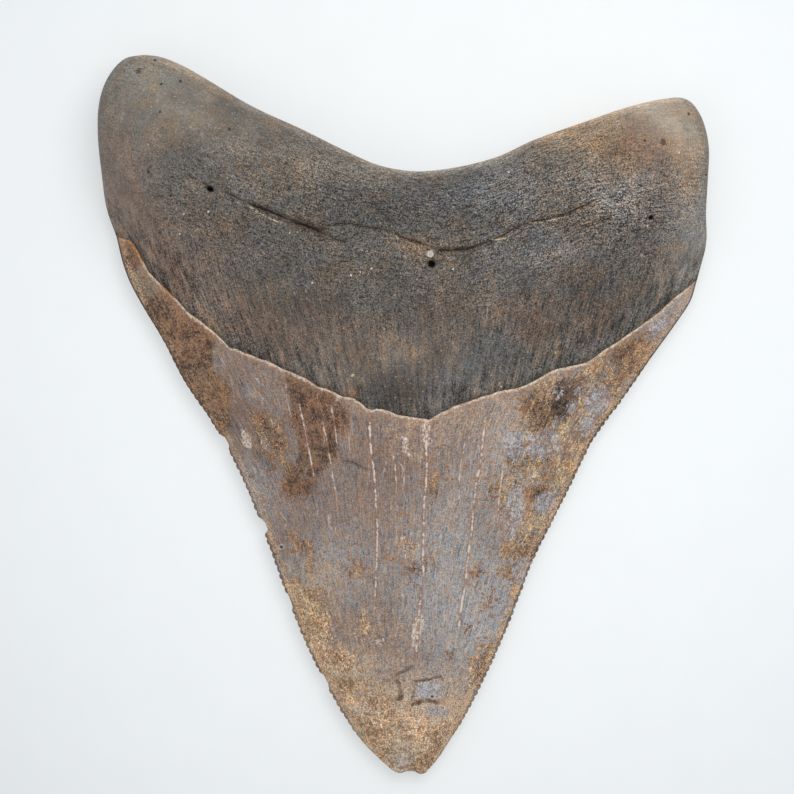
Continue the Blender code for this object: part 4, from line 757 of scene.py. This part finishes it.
def addRelief(name):
    grid = grids[name]
    flat = grid[..., :2].reshape(-1, 2)
    fromLeft = np.linalg.norm(grid[..., :2] - grid[:, :1, :2], axis=-1)
    fromRight = np.linalg.norm(grid[..., :2] - grid[:, -1:, :2], axis=-1)
    rim = np.minimum(fromLeft, fromRight)
    sign = 1 if name == "lingual" else -1
    seed = 3.0 if name == "lingual" else 40.0
    onRoot = np.zeros(rowCount)
    onRoot[crownRows + 1:] = smooth(0.0, 0.12, rootShares) * (1 - smooth(0.9, 1, rootShares))
    waves = rough(flat, relief["swell"][1], seed) * relief["swell"][0]
    waves += rough(flat, relief["lumps"][1], seed + 5) * relief["lumps"][0]
    calm = rough(flat, relief["crownSwell"][1], seed + 9) * relief["crownSwell"][0]
    waves, calm = waves.reshape(rim.shape), calm.reshape(rim.shape)
    dz = waves * onRoot[:, None] * smooth(0, 4, rim)
    onCrown = np.zeros(rowCount)
    onCrown[: crownRows + 1] = smooth(0.02, 0.10, crownShares)
    dz += calm * onCrown[:, None] * smooth(0, 3, rim)

    for ridge, gap in zip(ridges[name], (fromLeft, fromRight)):
        gap = gap[: crownRows + 1]
        reach = np.exp(-(gap / shape["beadReach"]) ** 2)
        dz[: crownRows + 1] += ridge[:, None] * shape["beadHeight"] * reach * smooth(0, 0.15, gap)
    enamelY = grid[crownRows, :, 1]
    lipGap = np.abs(enamelY[None] - grid[: crownRows + 1, :, 1])
    dip, width = relief["lip"]
    dz[: crownRows + 1] -= dip * (1 - smooth(0, width, lipGap)) * (1 - np.abs(2 * across - 1) ** 8)
    if name == "lingual":
        for half, depth, line in seams:
            gap = toLine(flat, line)[0]
            dz -= (depth * np.exp(-(gap / (1.3 * half)) ** 2)).reshape(dz.shape)
        for x, y, rx, ry, tilt, depth in relief["blemish"]:
            dz -= depth * bump(flat, x, y, rx, ry, tilt).reshape(dz.shape)
    grid[:-1, 1:-1, 2] += sign * dz[:-1, 1:-1]
    if name == "labial":
        grid[..., 2] = np.maximum(grid[..., 2], 0)


flowSizes = {"crownWidth": 62, "rootWidth": 76, "rootFrom": 10, "rootLength": 30, "labialShift": 9}


def flowOf(name):  # coordinates that follow the rows, for grain and fibres
    flow = np.zeros((rowCount, len(across), 3))
    flow[: crownRows + 1, :, 0] = (across - 0.5) * flowSizes["crownWidth"]
    flow[: crownRows + 1, :, 1] = grids[name][: crownRows + 1, :, 1]
    flow[crownRows + 1:, :, 0] = (across - 0.5) * flowSizes["rootWidth"]
    flow[crownRows + 1:, :, 1] = flowSizes["rootFrom"] + rootShares[:, None] * flowSizes["rootLength"]
    flow[..., 2] = 0 if name == "lingual" else flowSizes["labialShift"]
    return flow


def buildTooth():
    width = len(across)
    rows = np.arange(rowCount)[:, None]
    columns = np.arange(width)[None]
    upper = rows * width + columns
    onOutline = (rows == 0) | (rows == rowCount - 1) | (columns == 0) | (columns == width - 1)
    lower = upper.copy()
    count = upper.size
    lower[~onOutline] = count + np.arange((~onOutline).sum())
    points = np.concatenate([grids["lingual"].reshape(-1, 3), grids["labial"][~onOutline]])
    flow = np.concatenate([flowOf("lingual").reshape(-1, 3), flowOf("labial")[~onOutline]])

    def quads(index, flip):
        corners = [index[:-1, :-1], index[:-1, 1:], index[1:, 1:], index[1:, :-1]]
        faces = np.stack(corners, axis=-1).reshape(-1, 4)
        return faces[:, ::-1] if flip else faces

    faces = np.concatenate([quads(upper, False), quads(lower, True)])
    mesh = bpy.data.meshes.new("tooth")
    mesh.from_pydata(points.tolist(), [], faces.tolist())
    mesh.attributes.new("flow", "FLOAT_VECTOR", "POINT").data.foreach_set("vector", flow.ravel())

    bm = bmesh.new()
    bm.from_mesh(mesh)
    bm.faces.ensure_lookup_table()
    upperFaces = bm.faces[: (rowCount - 1) * (width - 1)]
    centres = points[faces[: len(upperFaces)]].mean(axis=1)
    for x, y, reach in shape["closeUps"]:
        near = np.hypot(centres[:, 0] - x, centres[:, 1] - y) < reach
        edges = {edge for i in np.flatnonzero(near) for edge in upperFaces[i].edges}
        bmesh.ops.subdivide_edges(bm, edges=list(edges), cuts=3, use_grid_fill=True)
        bm.faces.ensure_lookup_table()
        upperFaces = bm.faces[: (rowCount - 1) * (width - 1)]
    bm.to_mesh(mesh)
    bm.free()

    total = len(mesh.vertices)
    xyz = np.empty(total * 3)
    mesh.vertices.foreach_get("co", xyz)
    xyz = xyz.reshape(-1, 3)
    lingual = np.ones(total, bool)
    lingual[count: len(points)] = False
    flat = xyz[:, :2]
    for x, y, rx, ry, tilt, depth in shape["pits"]:
        away = inRadii(flat, x, y, rx, ry, tilt)
        around = relief["pitDish"] * np.exp(-((away - 1) ** 2) / 0.5) * (away > 1)
        hole = depth * (1 - smooth(0.55, 1.15, away)) + around
        xyz[lingual, 2] -= hole[lingual]
    x, y, rx, ry, height = relief["grain"]
    lump = bump(flat, x, y, rx, ry, 20) * height
    lump *= 0.75 + 0.5 * rough(flat, 0.35, 2.0)
    xyz[lingual, 2] += lump[lingual]
    x, y, r, height = relief["knob"]
    xyz[lingual, 2] += (height * bump(flat, x, y, r, r, 0))[lingual] * smooth(-45.1, -44.8, flat[lingual, 1])
    mesh.vertices.foreach_set("co", xyz.ravel())
    return mesh, xyz, lingual


for name in ("lingual", "labial"):
    addRelief(name)
toothMesh, xyz, lingual = buildTooth()
print("tooth mesh", len(toothMesh.vertices), "vertices", len(toothMesh.polygons), "faces")


# fields for the shader, one value at each vertex
reach = 3.0  # signed distances are kept to this many millimetres


def toStain(points, outlines):  # signed distance into the nearest stain
    field = np.full(len(points), -reach)
    for outline in outlines:
        low = np.min(outline, axis=0) - reach
        high = np.max(outline, axis=0) + reach
        near = np.flatnonzero(((points > low) & (points < high)).all(axis=1))
        gap = toLine(points[near], outline + outline[:1])[0]
        gap = np.where(inside(points[near], outline), gap, -gap)
        field[near] = np.maximum(field[near], np.clip(gap, -reach, reach))
    return field


def toHair(points, lines, keep=0.75):  # signed offset, strength and half width of the nearest line
    out = np.zeros((len(points), 3))
    out[:, 0] = reach
    best = np.full(len(points), reach)
    for half, strength, line in lines:
        low = np.min(line, axis=0) - reach
        high = np.max(line, axis=0) + reach
        near = np.flatnonzero(((points > low) & (points < high)).all(axis=1))
        gap, offset, place, length = toLine(points[near], line)
        ends = smooth(0, min(0.9, length / 3), np.minimum(place, length - place)) * 0.85 + 0.15
        closer = gap < best[near]
        some = near[closer]
        best[some] = gap[closer]
        out[some, 0] = offset[closer]
        out[some, 1] = (strength * ends * (1 - smooth(keep, keep + 0.3, gap)))[closer]
        out[some, 2] = half
    return out


def tint(points, start, patches):
    colour = np.tile(linear(tones[start]), (len(points), 1))
    for x, y, rx, ry, tilt, tone, amount in patches:
        weight = (amount * bump(points, x, y, rx, ry, tilt))[:, None]
        colour = colour * (1 - weight) + np.array(linear(tones[tone])) * weight
    return colour


def linear(rgb):  # 0-255 display values to scene values
    return tuple(c / 255 / 12.92 if c <= 10.3 else ((c / 255 + 0.055) / 1.055) ** 2.4 for c in rgb)


def store(name, values):
    kind, key = {1: ("FLOAT", "value"), 3: ("FLOAT_VECTOR", "vector")}[1 if values.ndim == 1 else 3]
    toothMesh.attributes.new(name, kind, "POINT").data.foreach_set(key, values.astype(np.float32).ravel())


flat = xyz[:, :2]
enamel = np.zeros(len(flat))
for face, line in ((lingual, shape["lingualEnamel"]), (~lingual, shape["labialEnamel"])):
    whole = [(-60, line[0][1] + 8), *line, (60, line[-1][1] + 8)]
    enamel[face] = -toLine(flat[face], whole)[1]
store("enamel", np.clip(enamel, -reach * 2, reach * 2))

outlineLeft = curveThrough(shape["leftEdge"], 4)
outlineRight = curveThrough(shape["rightEdge"], 4)
edgeGap = np.minimum(toLine(flat, outlineLeft)[0], toLine(flat, outlineRight)[0])
store("edgeGap", np.minimum(edgeGap, reach))
store("topGap", np.minimum(toLine(flat, shape["rootTop"])[0], reach))

groups = {
    "stainA": ("umber", "rust", "ochre"), "stainB": ("slate", "sepia", "soot"),
    "stainC": ("olive", "amber", "pale"), "stainD": ("honey", "cream", "tan"), "stainE": ("spot",),
}
for group, names in groups.items():
    values = np.full((len(flat), 3), -reach)
    for k, stain in enumerate(names):
        values[lingual, k] = toStain(flat[lingual], stains.get(stain, []))
        values[~lingual, k] = toStain(flat[~lingual], labialStains.get(stain, []))
    store(group, values)
for name, lines in hairlines.items():
    values = np.zeros((len(flat), 3))
    values[lingual] = toHair(flat[lingual], lines)
    values[~lingual] = toHair(flat[~lingual], labialLines.get(name, []))
    store(name, values)
for name, lines in (("seam", seams), ("fibre", fibres)):
    values = np.zeros((len(flat), 3))
    values[lingual] = toHair(flat[lingual], [(half, min(1, 0.35 + 2 * s), line) for half, s, line in lines])
    store(name, values)
store("bold", np.prod([1 - amount * bump(flat, *area) for *area, amount in smoothed], axis=0))
centres = np.array([(x, y, radius, kind) for kind, (radius, at) in enumerate(specks.values()) for x, y in at])
toEach = np.linalg.norm(flat[:, None] - centres[:, :2], axis=-1)
nearest = centres[toEach.argmin(axis=1)]
toCentre = np.zeros((len(flat), 3))
toCentre[:, :2] = (flat - nearest[:, :2]) / nearest[:, 2:3] + 60 * ~lingual[:, None]
store("speck", toCentre)
store("speckKind", np.where(toEach.min(axis=1) < 1.1, nearest[:, 3], 2 * len(specks)))
store("rootTint", tint(flat, "stone", rootTints))
store("crownTint", tint(flat, "mauve", crownTints))
# painted shade: the foramina are coloured near black, for the shade deep inside them
pitShadeMask = np.zeros(len(flat))
for x, y, rx, ry, tilt, depth in shape["pits"]:
    pitShadeMask = np.maximum(pitShadeMask, bump(flat, x, y, rx * 0.95, ry * 0.95, tilt) * lingual)
store("pit", pitShadeMask)
x, y, rx, ry, height = relief["grain"]
store("grain", bump(flat, x, y, rx * 1.05, ry * 1.05, 20) * lingual)
print("fields stored")

# the dressed tooth stays in the box of the plain one
low, high = (np.array(corner) / mm for corner in cadBox)
inMetres = np.clip(xyz, low + relief["clear"], high - relief["clear"]) * mm
toothMesh.vertices.foreach_set("co", inMetres.ravel())
toothMesh.update()


class Wire:  # one output socket that can be reckoned with
    def __init__(self, shader, socket):
        self.shader = shader
        self.socket = socket

    def maths(self, operation, a, b=0.0):
        return self.shader.node("Math", {"operation": operation}, {0: a, 1: b})

    def __add__(self, other):
        return self.maths("ADD", self, other)

    def __sub__(self, other):
        return self.maths("SUBTRACT", self, other)

    def __mul__(self, other):
        return self.maths("MULTIPLY", self, other)

    def __truediv__(self, other):
        return self.maths("DIVIDE", self, other)

    def __radd__(self, other):
        return self.maths("ADD", other, self)

    def __rsub__(self, other):
        return self.maths("SUBTRACT", other, self)

    def __rmul__(self, other):
        return self.maths("MULTIPLY", other, self)

    def __abs__(self):
        return self.maths("ABSOLUTE", self)

    def most(self, other):
        return self.maths("MAXIMUM", self, other)

    def least(self, other):
        return self.maths("MINIMUM", self, other)

    def step(self, low, high):  # smooth 0 to 1 as this goes from low to high
        return self.shader.node(
            "MapRange", {"interpolation_type": "SMOOTHSTEP"}, {0: self, 1: low, 2: high, 3: 0.0, 4: 1.0})


class Shader:
    def __init__(self, name):
        self.material = bpy.data.materials.new(name)
        self.material.use_nodes = True
        self.tree = self.material.node_tree
        self.tree.nodes.clear()

    def node(self, kind, settings, sockets, output=0):
        node = self.tree.nodes.new("ShaderNode" + kind)
        for key, value in settings.items():
            setattr(node, key, value)
        for key, value in sockets.items():
            if isinstance(value, Wire):
                self.tree.links.new(value.socket, node.inputs[key])
            else:
                node.inputs[key].default_value = value
        return Wire(self, node.outputs[output]) if len(node.outputs) else node

    def mix(self, factor, a, b):
        a, b = ((*c, 1) if isinstance(c, tuple) else c for c in (a, b))
        return self.node("Mix", {"data_type": "RGBA"}, {0: factor, 6: a, 7: b}, 2)

    def vector(self, operation, a, b):
        return self.node("VectorMath", {"operation": operation}, {0: a, 1: b})

    def toned(self, colour, value, warmth):  # brighter or darker, and warmer or cooler
        return self.vector("MULTIPLY", colour, self.node(
            "CombineXYZ", {}, {0: value * (1 + warmth), 1: value, 2: value * (1 - warmth)}))

    def noise(self, vector, scale, detail, roughness=0.6):
        return self.node(
            "TexNoise", {}, {"Vector": vector, "Scale": scale, "Detail": detail, "Roughness": roughness})

    def cells(self, vector, scale):  # distance to the middle of the nearest cell
        return self.node("TexVoronoi", {}, {"Vector": vector, "Scale": scale})

    def stored(self, name, output=1):
        return self.node("Attribute", {"attribute_name": name}, {}, output)

    def parts(self, vector):
        node = self.node("SeparateXYZ", {}, {0: vector}).socket.node
        return [Wire(self, socket) for socket in node.outputs]


look = {
    "rootCells": 0.95, "rootGrain": 1.35, "rootLines": 2.9, "rootWarmth": 0.68, "rootRough": 0.78,
    "poreDark": 0.5, "fleckTone": (186, 178, 166), "fleckAmount": 0.6,
    "crownCells": 0.34, "crownGrain": 0.6, "crownLines": 1.3, "crownWarmth": 0.9, "crownRough": 0.46,
    # each stain: dark tone, light tone, ragged edge, holes, softness and deepest (mm), amount
    "stains": {
        "tan": ((138, 112, 92), (188, 162, 140), 2.2, 3.0, 0.45, 0.16, 0.45),
        "olive": ((112, 96, 78), (152, 134, 114), 0.25, 0.1, 0.10, 3.0, 1.0),
        "sepia": ((62, 38, 22), (154, 119, 88), 1.2, 1.0, 0.30, 3.0, 0.92),
        "honey": ((86, 52, 27), (252, 216, 174), 2.6, 3.0, 0.20, 0.30, 0.92),
        "ochre": ((80, 50, 25), (224, 192, 148), 4.0, 5.0, 0.10, 0.26, 0.90),
        "spot": ((72, 43, 22), (228, 186, 142), 2.6, 3.4, 0.20, 0.30, 0.80),
        "rust": ((40, 24, 12), (190, 152, 115), 2.4, 4.0, 0.10, 0.75, 0.95),
        "umber": ((44, 26, 15), (138, 104, 78), 1.0, 3.0, 0.14, 1.5, 0.92),
        "cream": ((172, 146, 122), (214, 195, 174), 1.6, 2.0, 0.20, 0.5, 0.80),
        "soot": ((8, 5, 4), (104, 86, 74), 1.8, 2.8, 0.10, 0.8, 0.97),
        "slate": ((140, 137, 140), (188, 184, 185), 1.8, 1.6, 0.06, 0.8, 0.88),
        "pale": ((188, 164, 146), (220, 206, 194), 0.8, 0.8, 0.15, 3.0, 0.85),
    },
    "stainCells": 0.4, "bruise": (96, 70, 54),
    # lip: the enamel edge's tones; its light tone is partly a painted highlight
    "lip": ((166, 126, 96), (232, 214, 194)), "amber": ((150, 84, 36), (226, 160, 90)),
    "hair": (222, 208, 196), "hairEdge": (138, 94, 66), "stroke": ((204, 194, 188), (98, 71, 53)),
    # rim: painted shade along the cutting edges
    "rim": (84, 60, 46), "stray": (122, 80, 52),
    # bead: painted highlight on the serrations
    "bead": (218, 178, 140), "glint": (190, 188, 192),
    "specks": {"white": (226, 224, 218), "cream": (214, 190, 150), "dark": (34, 32, 32),
               "brown": (86, 62, 48), "ring": (62, 40, 28), "spill": (148, 112, 80)},
    "halo": (196, 186, 180),
    "seam": (26, 21, 18), "fibre": (222, 204, 158), "grain": ((168, 156, 136), (242, 236, 222)),
    # pit: painted shade, near black, inside the foramina
    "pit": (10, 9, 10),
    "rootBump": 1.0, "crownBump": 0.45, "bumpDepth": 0.12 * mm,
    # soft noises in millimetres: where each is taken from, scale, detail and roughness
    "noises": {
        "wobble": ((0, 0, 0), 2.2, 1, 0.6), "grit": ((0, 0, 0), 6.4, 1, 0.7),
        "hue": ((5, 50, 9), 1.5, 3, 0.6), "broad": ((70, 5, 9), 0.30, 3, 0.6),
        "clouds": ((7, 75, 29), 0.22, 3, 0.6), "patchy": ((2, 60, 5), 1.1, 3, 0.68),
        "speckle": ((12, 3, 25), 2.3, 2, 0.68),
    },
    # noises drawn out along the flow: scale across and along it, and detail
    "flowNoises": {"downLines": (4.4, 0.5, 2), "acrossLines": (0.7, 4.6, 2), "ribs": (1.25, 0.22, 3)},
    "crumbs": (6.6, 5.2, 6.6),  # cells of the grain, to the millimetre
}


def fossilMaterial():
    sh = Shader("fossil")
    place = sh.vector("MULTIPLY", sh.node("TexCoord", {}, {}, 3), (1 / mm, 1 / mm, 1 / mm))  # in millimetres
    flow = sh.stored("flow")
    enamelGap = sh.stored("enamel", 2)
    edgeGap = sh.stored("edgeGap", 2)
    bold = sh.stored("bold", 2)

    wobble, grit, hue, broad, clouds, patchy, speckle = (
        sh.noise(sh.vector("ADD", place, shift), *kind) - 0.5 for shift, *kind in look["noises"].values())
    downLines, acrossLines, ribs = (
        sh.noise(sh.vector("MULTIPLY", flow, (wide, long, 1)), 1.0, detail) - 0.5
        for wide, long, detail in look["flowNoises"].values())
    crumbs = sh.vector("MULTIPLY", place, look["crumbs"])
    tone, tinge, rare = sh.parts(sh.node("TexVoronoi", {}, {"Vector": crumbs, "Scale": 1.0}, 1))
    grain = grit.step(-0.2, 0.2)
    isCrown = (enamelGap + wobble * 0.22).step(-0.06, 0.06)

    # root: salt and pepper grain on lines that run across its top and down its lower half
    high = sh.parts(flow)[1].step(16, 27)
    lines = (downLines + (acrossLines - downLines) * high) * (0.35 + bold * 0.65) * (1 - high * 0.2)
    ribsLow = ribs * (1 - high)
    salt = (tone - 0.5) * look["rootCells"] + (grain - 0.5) * look["rootGrain"] + lines * look["rootLines"]
    value = 1 + (salt + speckle * 0.6) * bold * (1 + broad * 1.4)
    value = value + ribsLow * (1.4 + enamelGap.step(-6, 0) * 2.0) + patchy * 0.35 + broad * 1.1
    warmth = ((hue + ribsLow * 0.9 + clouds) * look["rootWarmth"]).most(-0.05)
    warmth = 0.02 + warmth + (tinge - 0.5) * 0.22 + lines * 0.3
    rootColour = sh.toned(sh.stored("rootTint"), value.most(0.12), warmth)
    pores = (1 - sh.cells(place, 0.8).step(0.08, 0.24)) * patchy.step(-0.08, 0.08)
    rootColour = sh.toned(rootColour, 1 - pores.most(rare.step(0.05, 0.03)) * look["poreDark"] * bold, 0.0)
    flecks = rare.step(0.965, 0.98) * hue.step(-0.06, 0.06)
    rootColour = sh.mix(flecks * look["fleckAmount"], rootColour, linear(look["fleckTone"]))
    # painted light: the root is painted lighter and warmer within about 1.4 mm of its top edge
    paintedTopLight = (1 - (sh.stored("topGap", 2) + wobble * 0.8 + patchy * 0.8).step(0.0, 1.4)) * (0.5 + bold * 0.6)
    rootColour = sh.toned(rootColour, 1 + paintedTopLight, paintedTopLight * 0.08)
    shade = enamelGap.step(-1.0, -0.1) * (0.34 + wobble * 0.8)
    rootColour = sh.toned(rootColour, 1 - shade.most(0.0), 0.0)

    # crown: streaks down the enamel, then the stains
    film = (patchy * 0.7 + ribs * 1.5 + broad * 1.0).step(-0.12, 0.22)  # thin brown film in patches
    coarse = 1 + (1 - sh.parts(place)[1].step(-38, -28)) * 0.45  # the tip is more speckled
    value = (tone - 0.5) * look["crownCells"] + (grain - 0.5) * look["crownGrain"] + speckle * 0.9
    value = 1.06 + value * coarse
    value = value + downLines * look["crownLines"] + ribs * 1.3 + patchy * 1.0 + broad * 0.8 - film * 0.24
    warmth = 0.005 + film * 0.10 + (ribs * 0.6 + hue * 0.9 + (tinge - 0.5) * 0.30) * look["crownWarmth"]
    crownColour = sh.toned(sh.stored("crownTint"), value, warmth.most(-0.07))
    glint = (downLines * 0.8 + speckle * 0.7 + ribs * 0.8).step(0.14, 0.28) * 0.35
    crownColour = sh.mix(glint, crownColour, linear(look["glint"]))
    fields = {}
    for name, stainNames in groups.items():
        fields.update(zip(stainNames, sh.parts(sh.stored(name))))
    crumble = (tone - 0.5) * look["stainCells"]
    mottle = broad * 1.6 + hue * 0.8 + patchy * 0.9 + ribs * 0.9 + downLines * 1.0 + speckle * 0.6
    mottle = (mottle + grit * 1.3 + (tone - 0.5) * 0.4 + 0.52).step(0.0, 1.0)
    fine = (clouds * 0.6 + hue * 0.5 + (rare - 0.5) * 0.24).most(-0.04)
    fine = sh.toned((1, 1, 1), 1 + (tone - 0.5) * 0.5 + (grain - 0.5) * 0.4 + patchy * 0.5, fine)
    for name, (dark, light, edge, holes, soft, deepest, amount) in look["stains"].items():
        mask = fields[name].least(deepest) + patchy * edge + (speckle + ribs * 0.6) * holes
        mask = mask + crumble * min(holes, 1)
        stainColour = sh.vector("MULTIPLY", sh.mix(mottle, linear(dark), linear(light)), fine)
        crownColour = sh.mix(mask.step(-soft, soft) * amount, crownColour, stainColour)
    near = fields["rust"].most(fields["ochre"]).most(fields["honey"]).step(-2.6, 0.4)
    stray = (speckle + hue * 0.6 + (tone - 0.5) * 0.16 + near * 0.11).step(0.15, 0.21) * 0.75
    crownColour = sh.mix(stray, crownColour, linear(look["stray"]))
    bruise = (broad * 0.9 + patchy * 0.8 + ribs * 0.4).step(0.20, 0.36) * 0.4
    crownColour = sh.mix(bruise, crownColour, linear(look["bruise"]))

    broken = sh.noise(sh.vector("MULTIPLY", place, (0.4, 1, 1)), 0.9, 3, 0.7).step(0.40, 0.58)
    offset, strength, half = sh.parts(sh.stored("hairD"))
    gap = abs(offset + wobble * 0.4 + patchy * 0.4 + speckle * 0.3) / (half * (1 + patchy * 2).most(0.35))
    mask = (1 - gap.step(0.4, 1.9)) * (0.75 + patchy * 2 + speckle * 2)
    for shade, amount in zip(look["stroke"], (strength, 0 - strength)):
        crownColour = sh.mix((mask * amount).most(0.0).least(1.0), crownColour, linear(shade))
    for name in list(hairlines)[:3]:
        offset, strength, half = sh.parts(sh.stored(name))
        width = half * (0.6 + broken * 0.6 + patchy + speckle).most(0.2)
        gap = abs(offset + wobble * 0.25 + patchy * 0.20) / width
        fringe = (1 - gap.step(0.8, 2.8)) * strength * (1 - broken * 0.6) * 0.8
        core = (1 - gap.step(0.3, 1.15)) * strength * (0.15 + broken * 0.8 + patchy * 1.4).least(0.95)
        crownColour = sh.mix(fringe, crownColour, linear(look["hairEdge"]))
        crownColour = sh.mix(core.most(0.0), crownColour, linear(look["hair"]))
    edge = edgeGap + wobble * 0.3
    # painted highlight: pale tan on the serration beads within about a millimetre of the cutting edges
    beadHighlight = edge.step(0.15, 0.35) * (1 - edge.step(0.6, 1.2)) * (grain * 0.8 + patchy).step(0.3, 0.7)
    beadHighlight = beadHighlight * (0.8 - fields["sepia"].most(fields["spot"]).step(-0.2, 0.4) * 0.65)
    crownColour = sh.mix(beadHighlight, crownColour, linear(look["bead"]))
    # painted shade: dark brown along the outermost 0.28 mm of the cutting edges, less where the cream stain
    # lies
    rim = (1 - edge.step(0.0, 0.28)) * (0.6 - fields["cream"].step(-0.3, 0.3) * 0.5)
    crownColour = sh.mix(rim, crownColour, linear(look["rim"]))
    glow = (1 - (enamelGap + patchy * 2 + ribs * 2).step(0.2, 1.3)) * 0.35
    crownColour = sh.mix(glow, crownColour, linear(look["lip"][0]))
    # painted highlight: a thin cream line along the enamel's edge, partly the raw enamel's own colour and
    # partly light caught by the lip; amber where the amber stain lies
    lip = enamelGap.step(-0.03, 0.02) * (1 - (enamelGap + wobble * 0.7 + patchy * 0.6).step(0.10, 0.42))
    lip = lip * (0.95 + patchy * 1.4) * edge.step(0.4, 1.2)
    lipGrain = (grain * 0.6 + patchy * 1.8 + 0.2).step(0.0, 0.8)
    lipToneAndHighlight = sh.mix(fields["amber"].step(-0.1, 0.1), *(
        sh.mix(lipGrain, *(linear(tone) for tone in look[name])) for name in ("lip", "amber")))
    crownColour = sh.mix(lip.least(0.95), crownColour, lipToneAndHighlight)

    # both: seams, fibres, specks, the grain in the middle pit, and painted shade in the pits
    colour = sh.mix(isCrown, rootColour, crownColour)
    torn = patchy + speckle * 0.5 + (grain - 0.5) * 0.35
    offset, strength, half = sh.parts(sh.stored("seam"))
    seamGap = abs(offset + wobble * 0.35) / half
    seam = (1 - seamGap.step(0.3, 1.0)) * strength * torn.step(-0.34, -0.12)
    shade = (1 - seamGap.step(0.8, 4.5)) * strength * 0.35
    colour = sh.toned(colour, 1 - shade, shade * 0.3)
    colour = sh.mix(seam, colour, linear(look["seam"]))
    offset, strength, half = sh.parts(sh.stored("fibre"))
    fibre = (1 - (abs(offset + wobble * 0.06) / half).step(0.5, 1.2)) * strength * torn.step(-0.14, 0.04)
    colour = sh.mix(fibre, colour, linear(look["fibre"]))
    away = sh.node("VectorMath", {"operation": "LENGTH"}, {0: sh.stored("speck")}, 1)
    away = away + (speckle + patchy) * 2.2
    kind = sh.stored("speckKind", 2)
    for k, speckTone in enumerate(look["specks"].values()):
        mask = (1 - away.step(0.6, 1.3)) * (1 - abs(kind - k).step(0.2, 0.4)) * (0.85 + (grain - 0.5) * 0.5)
        colour = sh.mix(mask, colour, linear(speckTone))
    isRing = 1 - abs(kind - list(specks).index("ring")).step(0.2, 0.4)
    halo = away.step(0.9, 1.3) * (1 - away.step(1.6, 2.3)) * isRing
    colour = sh.mix(halo * 0.7, colour, linear(look["halo"]))
    lump = (sh.stored("grain", 2) + wobble * 0.5).step(0.35, 0.55)
    colour = sh.mix(lump, colour, sh.mix(grain, *(linear(tone) for tone in look["grain"])))
    # painted shade: near black inside the foramina
    pit = (sh.stored("pit", 2) + wobble * 0.1).step(0.32, 0.62)
    colour = sh.mix(pit, colour, linear(look["pit"]))

    onCrown = enamelGap.step(-0.06, 0.06)
    height = (grain * 0.6 + lines * 1.2) * (1 - onCrown) * bold * look["rootBump"]
    height = height + (grain * 0.6 + downLines) * onCrown * look["crownBump"]
    normal = sh.node("Bump", {}, {"Strength": 1.0, "Distance": look["bumpDepth"], "Height": height})
    roughness = look["rootRough"] + (look["crownRough"] - look["rootRough"]) * isCrown + (grain - 0.5) * 0.2
    surface = sh.node("BsdfPrincipled", {}, {
        "Base Color": colour, "Roughness": roughness, "Normal": normal, "Specular IOR Level": 0.4})
    sh.node("OutputMaterial", {}, {"Surface": surface})
    return sh.material


tooth = bpy.data.objects.new("toothDressed", toothMesh)
bpy.context.scene.collection.objects.link(tooth)
toothMesh.materials.append(fossilMaterial())
toothMesh.shade_smooth()
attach(tooth, "root")
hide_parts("tooth")
print("tooth dressed")


stage = {
    # the floor's glow and its darkening away from one point are painted light
    "floorHalf": 0.6, "floorTone": (249, 252, 253), "floorGlow": 0.48, "paintedFalloff": 22.0, "paintedFalloffLeast": 0.8,
    "paintedLightCentre": (0.012, 0.018, 0.0), "world": (0.91, 0.957, 1.0), "worldStrength": 0.60,
    "lamps": [  # name, place, size, watts, colour; each points at the tooth
        ("softKey", (0.07, 0.11, 0.28), 0.24, 0.46, (1.0, 0.985, 0.96)),
        ("softFill", (-0.12, -0.05, 0.40), 0.30, 0.16, (0.95, 0.975, 1.0)),
    ],
    "cameraAt": (-0.78 * mm, 2.2 * mm, 418.5 * mm), "lens": 150, "sensor": 36,
}


def floorMaterial():
    sh = Shader("paleBoard")
    place = sh.node("TexCoord", {}, {}, 3)
    away = sh.node("VectorMath", {"operation": "DISTANCE"}, {0: place, 1: stage["paintedLightCentre"]}, 1)
    value = 1 + (sh.noise(place, 160.0, 2) - 0.5) * 0.03 + (sh.noise(place, 9.0, 2) - 0.5) * 0.03
    # painted light: the floor is painted darker with distance from one point, as a pool of light
    value = (value - away * away * stage["paintedFalloff"]).most(stage["paintedFalloffLeast"])
    tone = linear(stage["floorTone"])
    # painted light: part of the floor's tone glows by itself, so the shadows cast on it stay faint
    glow = stage["floorGlow"]
    surface = sh.node("BsdfPrincipled", {}, {
        "Base Color": sh.toned(tone, value * (1 - glow), 0.0), "Roughness": 0.9, "Specular IOR Level": 0.2,
        "Emission Color": sh.toned(tone, value * glow, 0.0), "Emission Strength": 1.0})
    sh.node("OutputMaterial", {}, {"Surface": surface})
    return sh.material


half = stage["floorHalf"]
floorMesh = bpy.data.meshes.new("paleFloor")
floorCorners = [(-half, -half, 0), (half, -half, 0), (half, half, 0), (-half, half, 0)]
floorMesh.from_pydata(floorCorners, [], [(0, 1, 2, 3)])
floorMesh.materials.append(floorMaterial())
floor = bpy.data.objects.new("paleFloor", floorMesh)
bpy.context.scene.collection.objects.link(floor)

world = bpy.data.worlds.new("softWorld")
world.use_nodes = True
world.node_tree.nodes["Background"].inputs["Color"].default_value = (*stage["world"], 1)
world.node_tree.nodes["Background"].inputs["Strength"].default_value = stage["worldStrength"]
bpy.context.scene.world = world
bpy.context.scene.view_settings.view_transform = "Standard"

for name, at, size, watts, colour in stage["lamps"]:
    lamp = bpy.data.lights.new(name, "AREA")
    lamp.shape = "DISK"
    lamp.size = size
    lamp.energy = watts
    lamp.color = colour
    holder = bpy.data.objects.new(name, lamp)
    holder.location = at
    holder.rotation_euler = (-Vector(at)).to_track_quat("-Z", "Y").to_euler()
    bpy.context.scene.collection.objects.link(holder)

camera = bpy.data.cameras.new("overhead")
camera.lens = stage["lens"]
camera.sensor_width = stage["sensor"]
cameraHolder = bpy.data.objects.new("overhead", camera)
cameraHolder.location = stage["cameraAt"]
bpy.context.scene.collection.objects.link(cameraHolder)
bpy.context.scene.camera = cameraHolder

print("stage set")
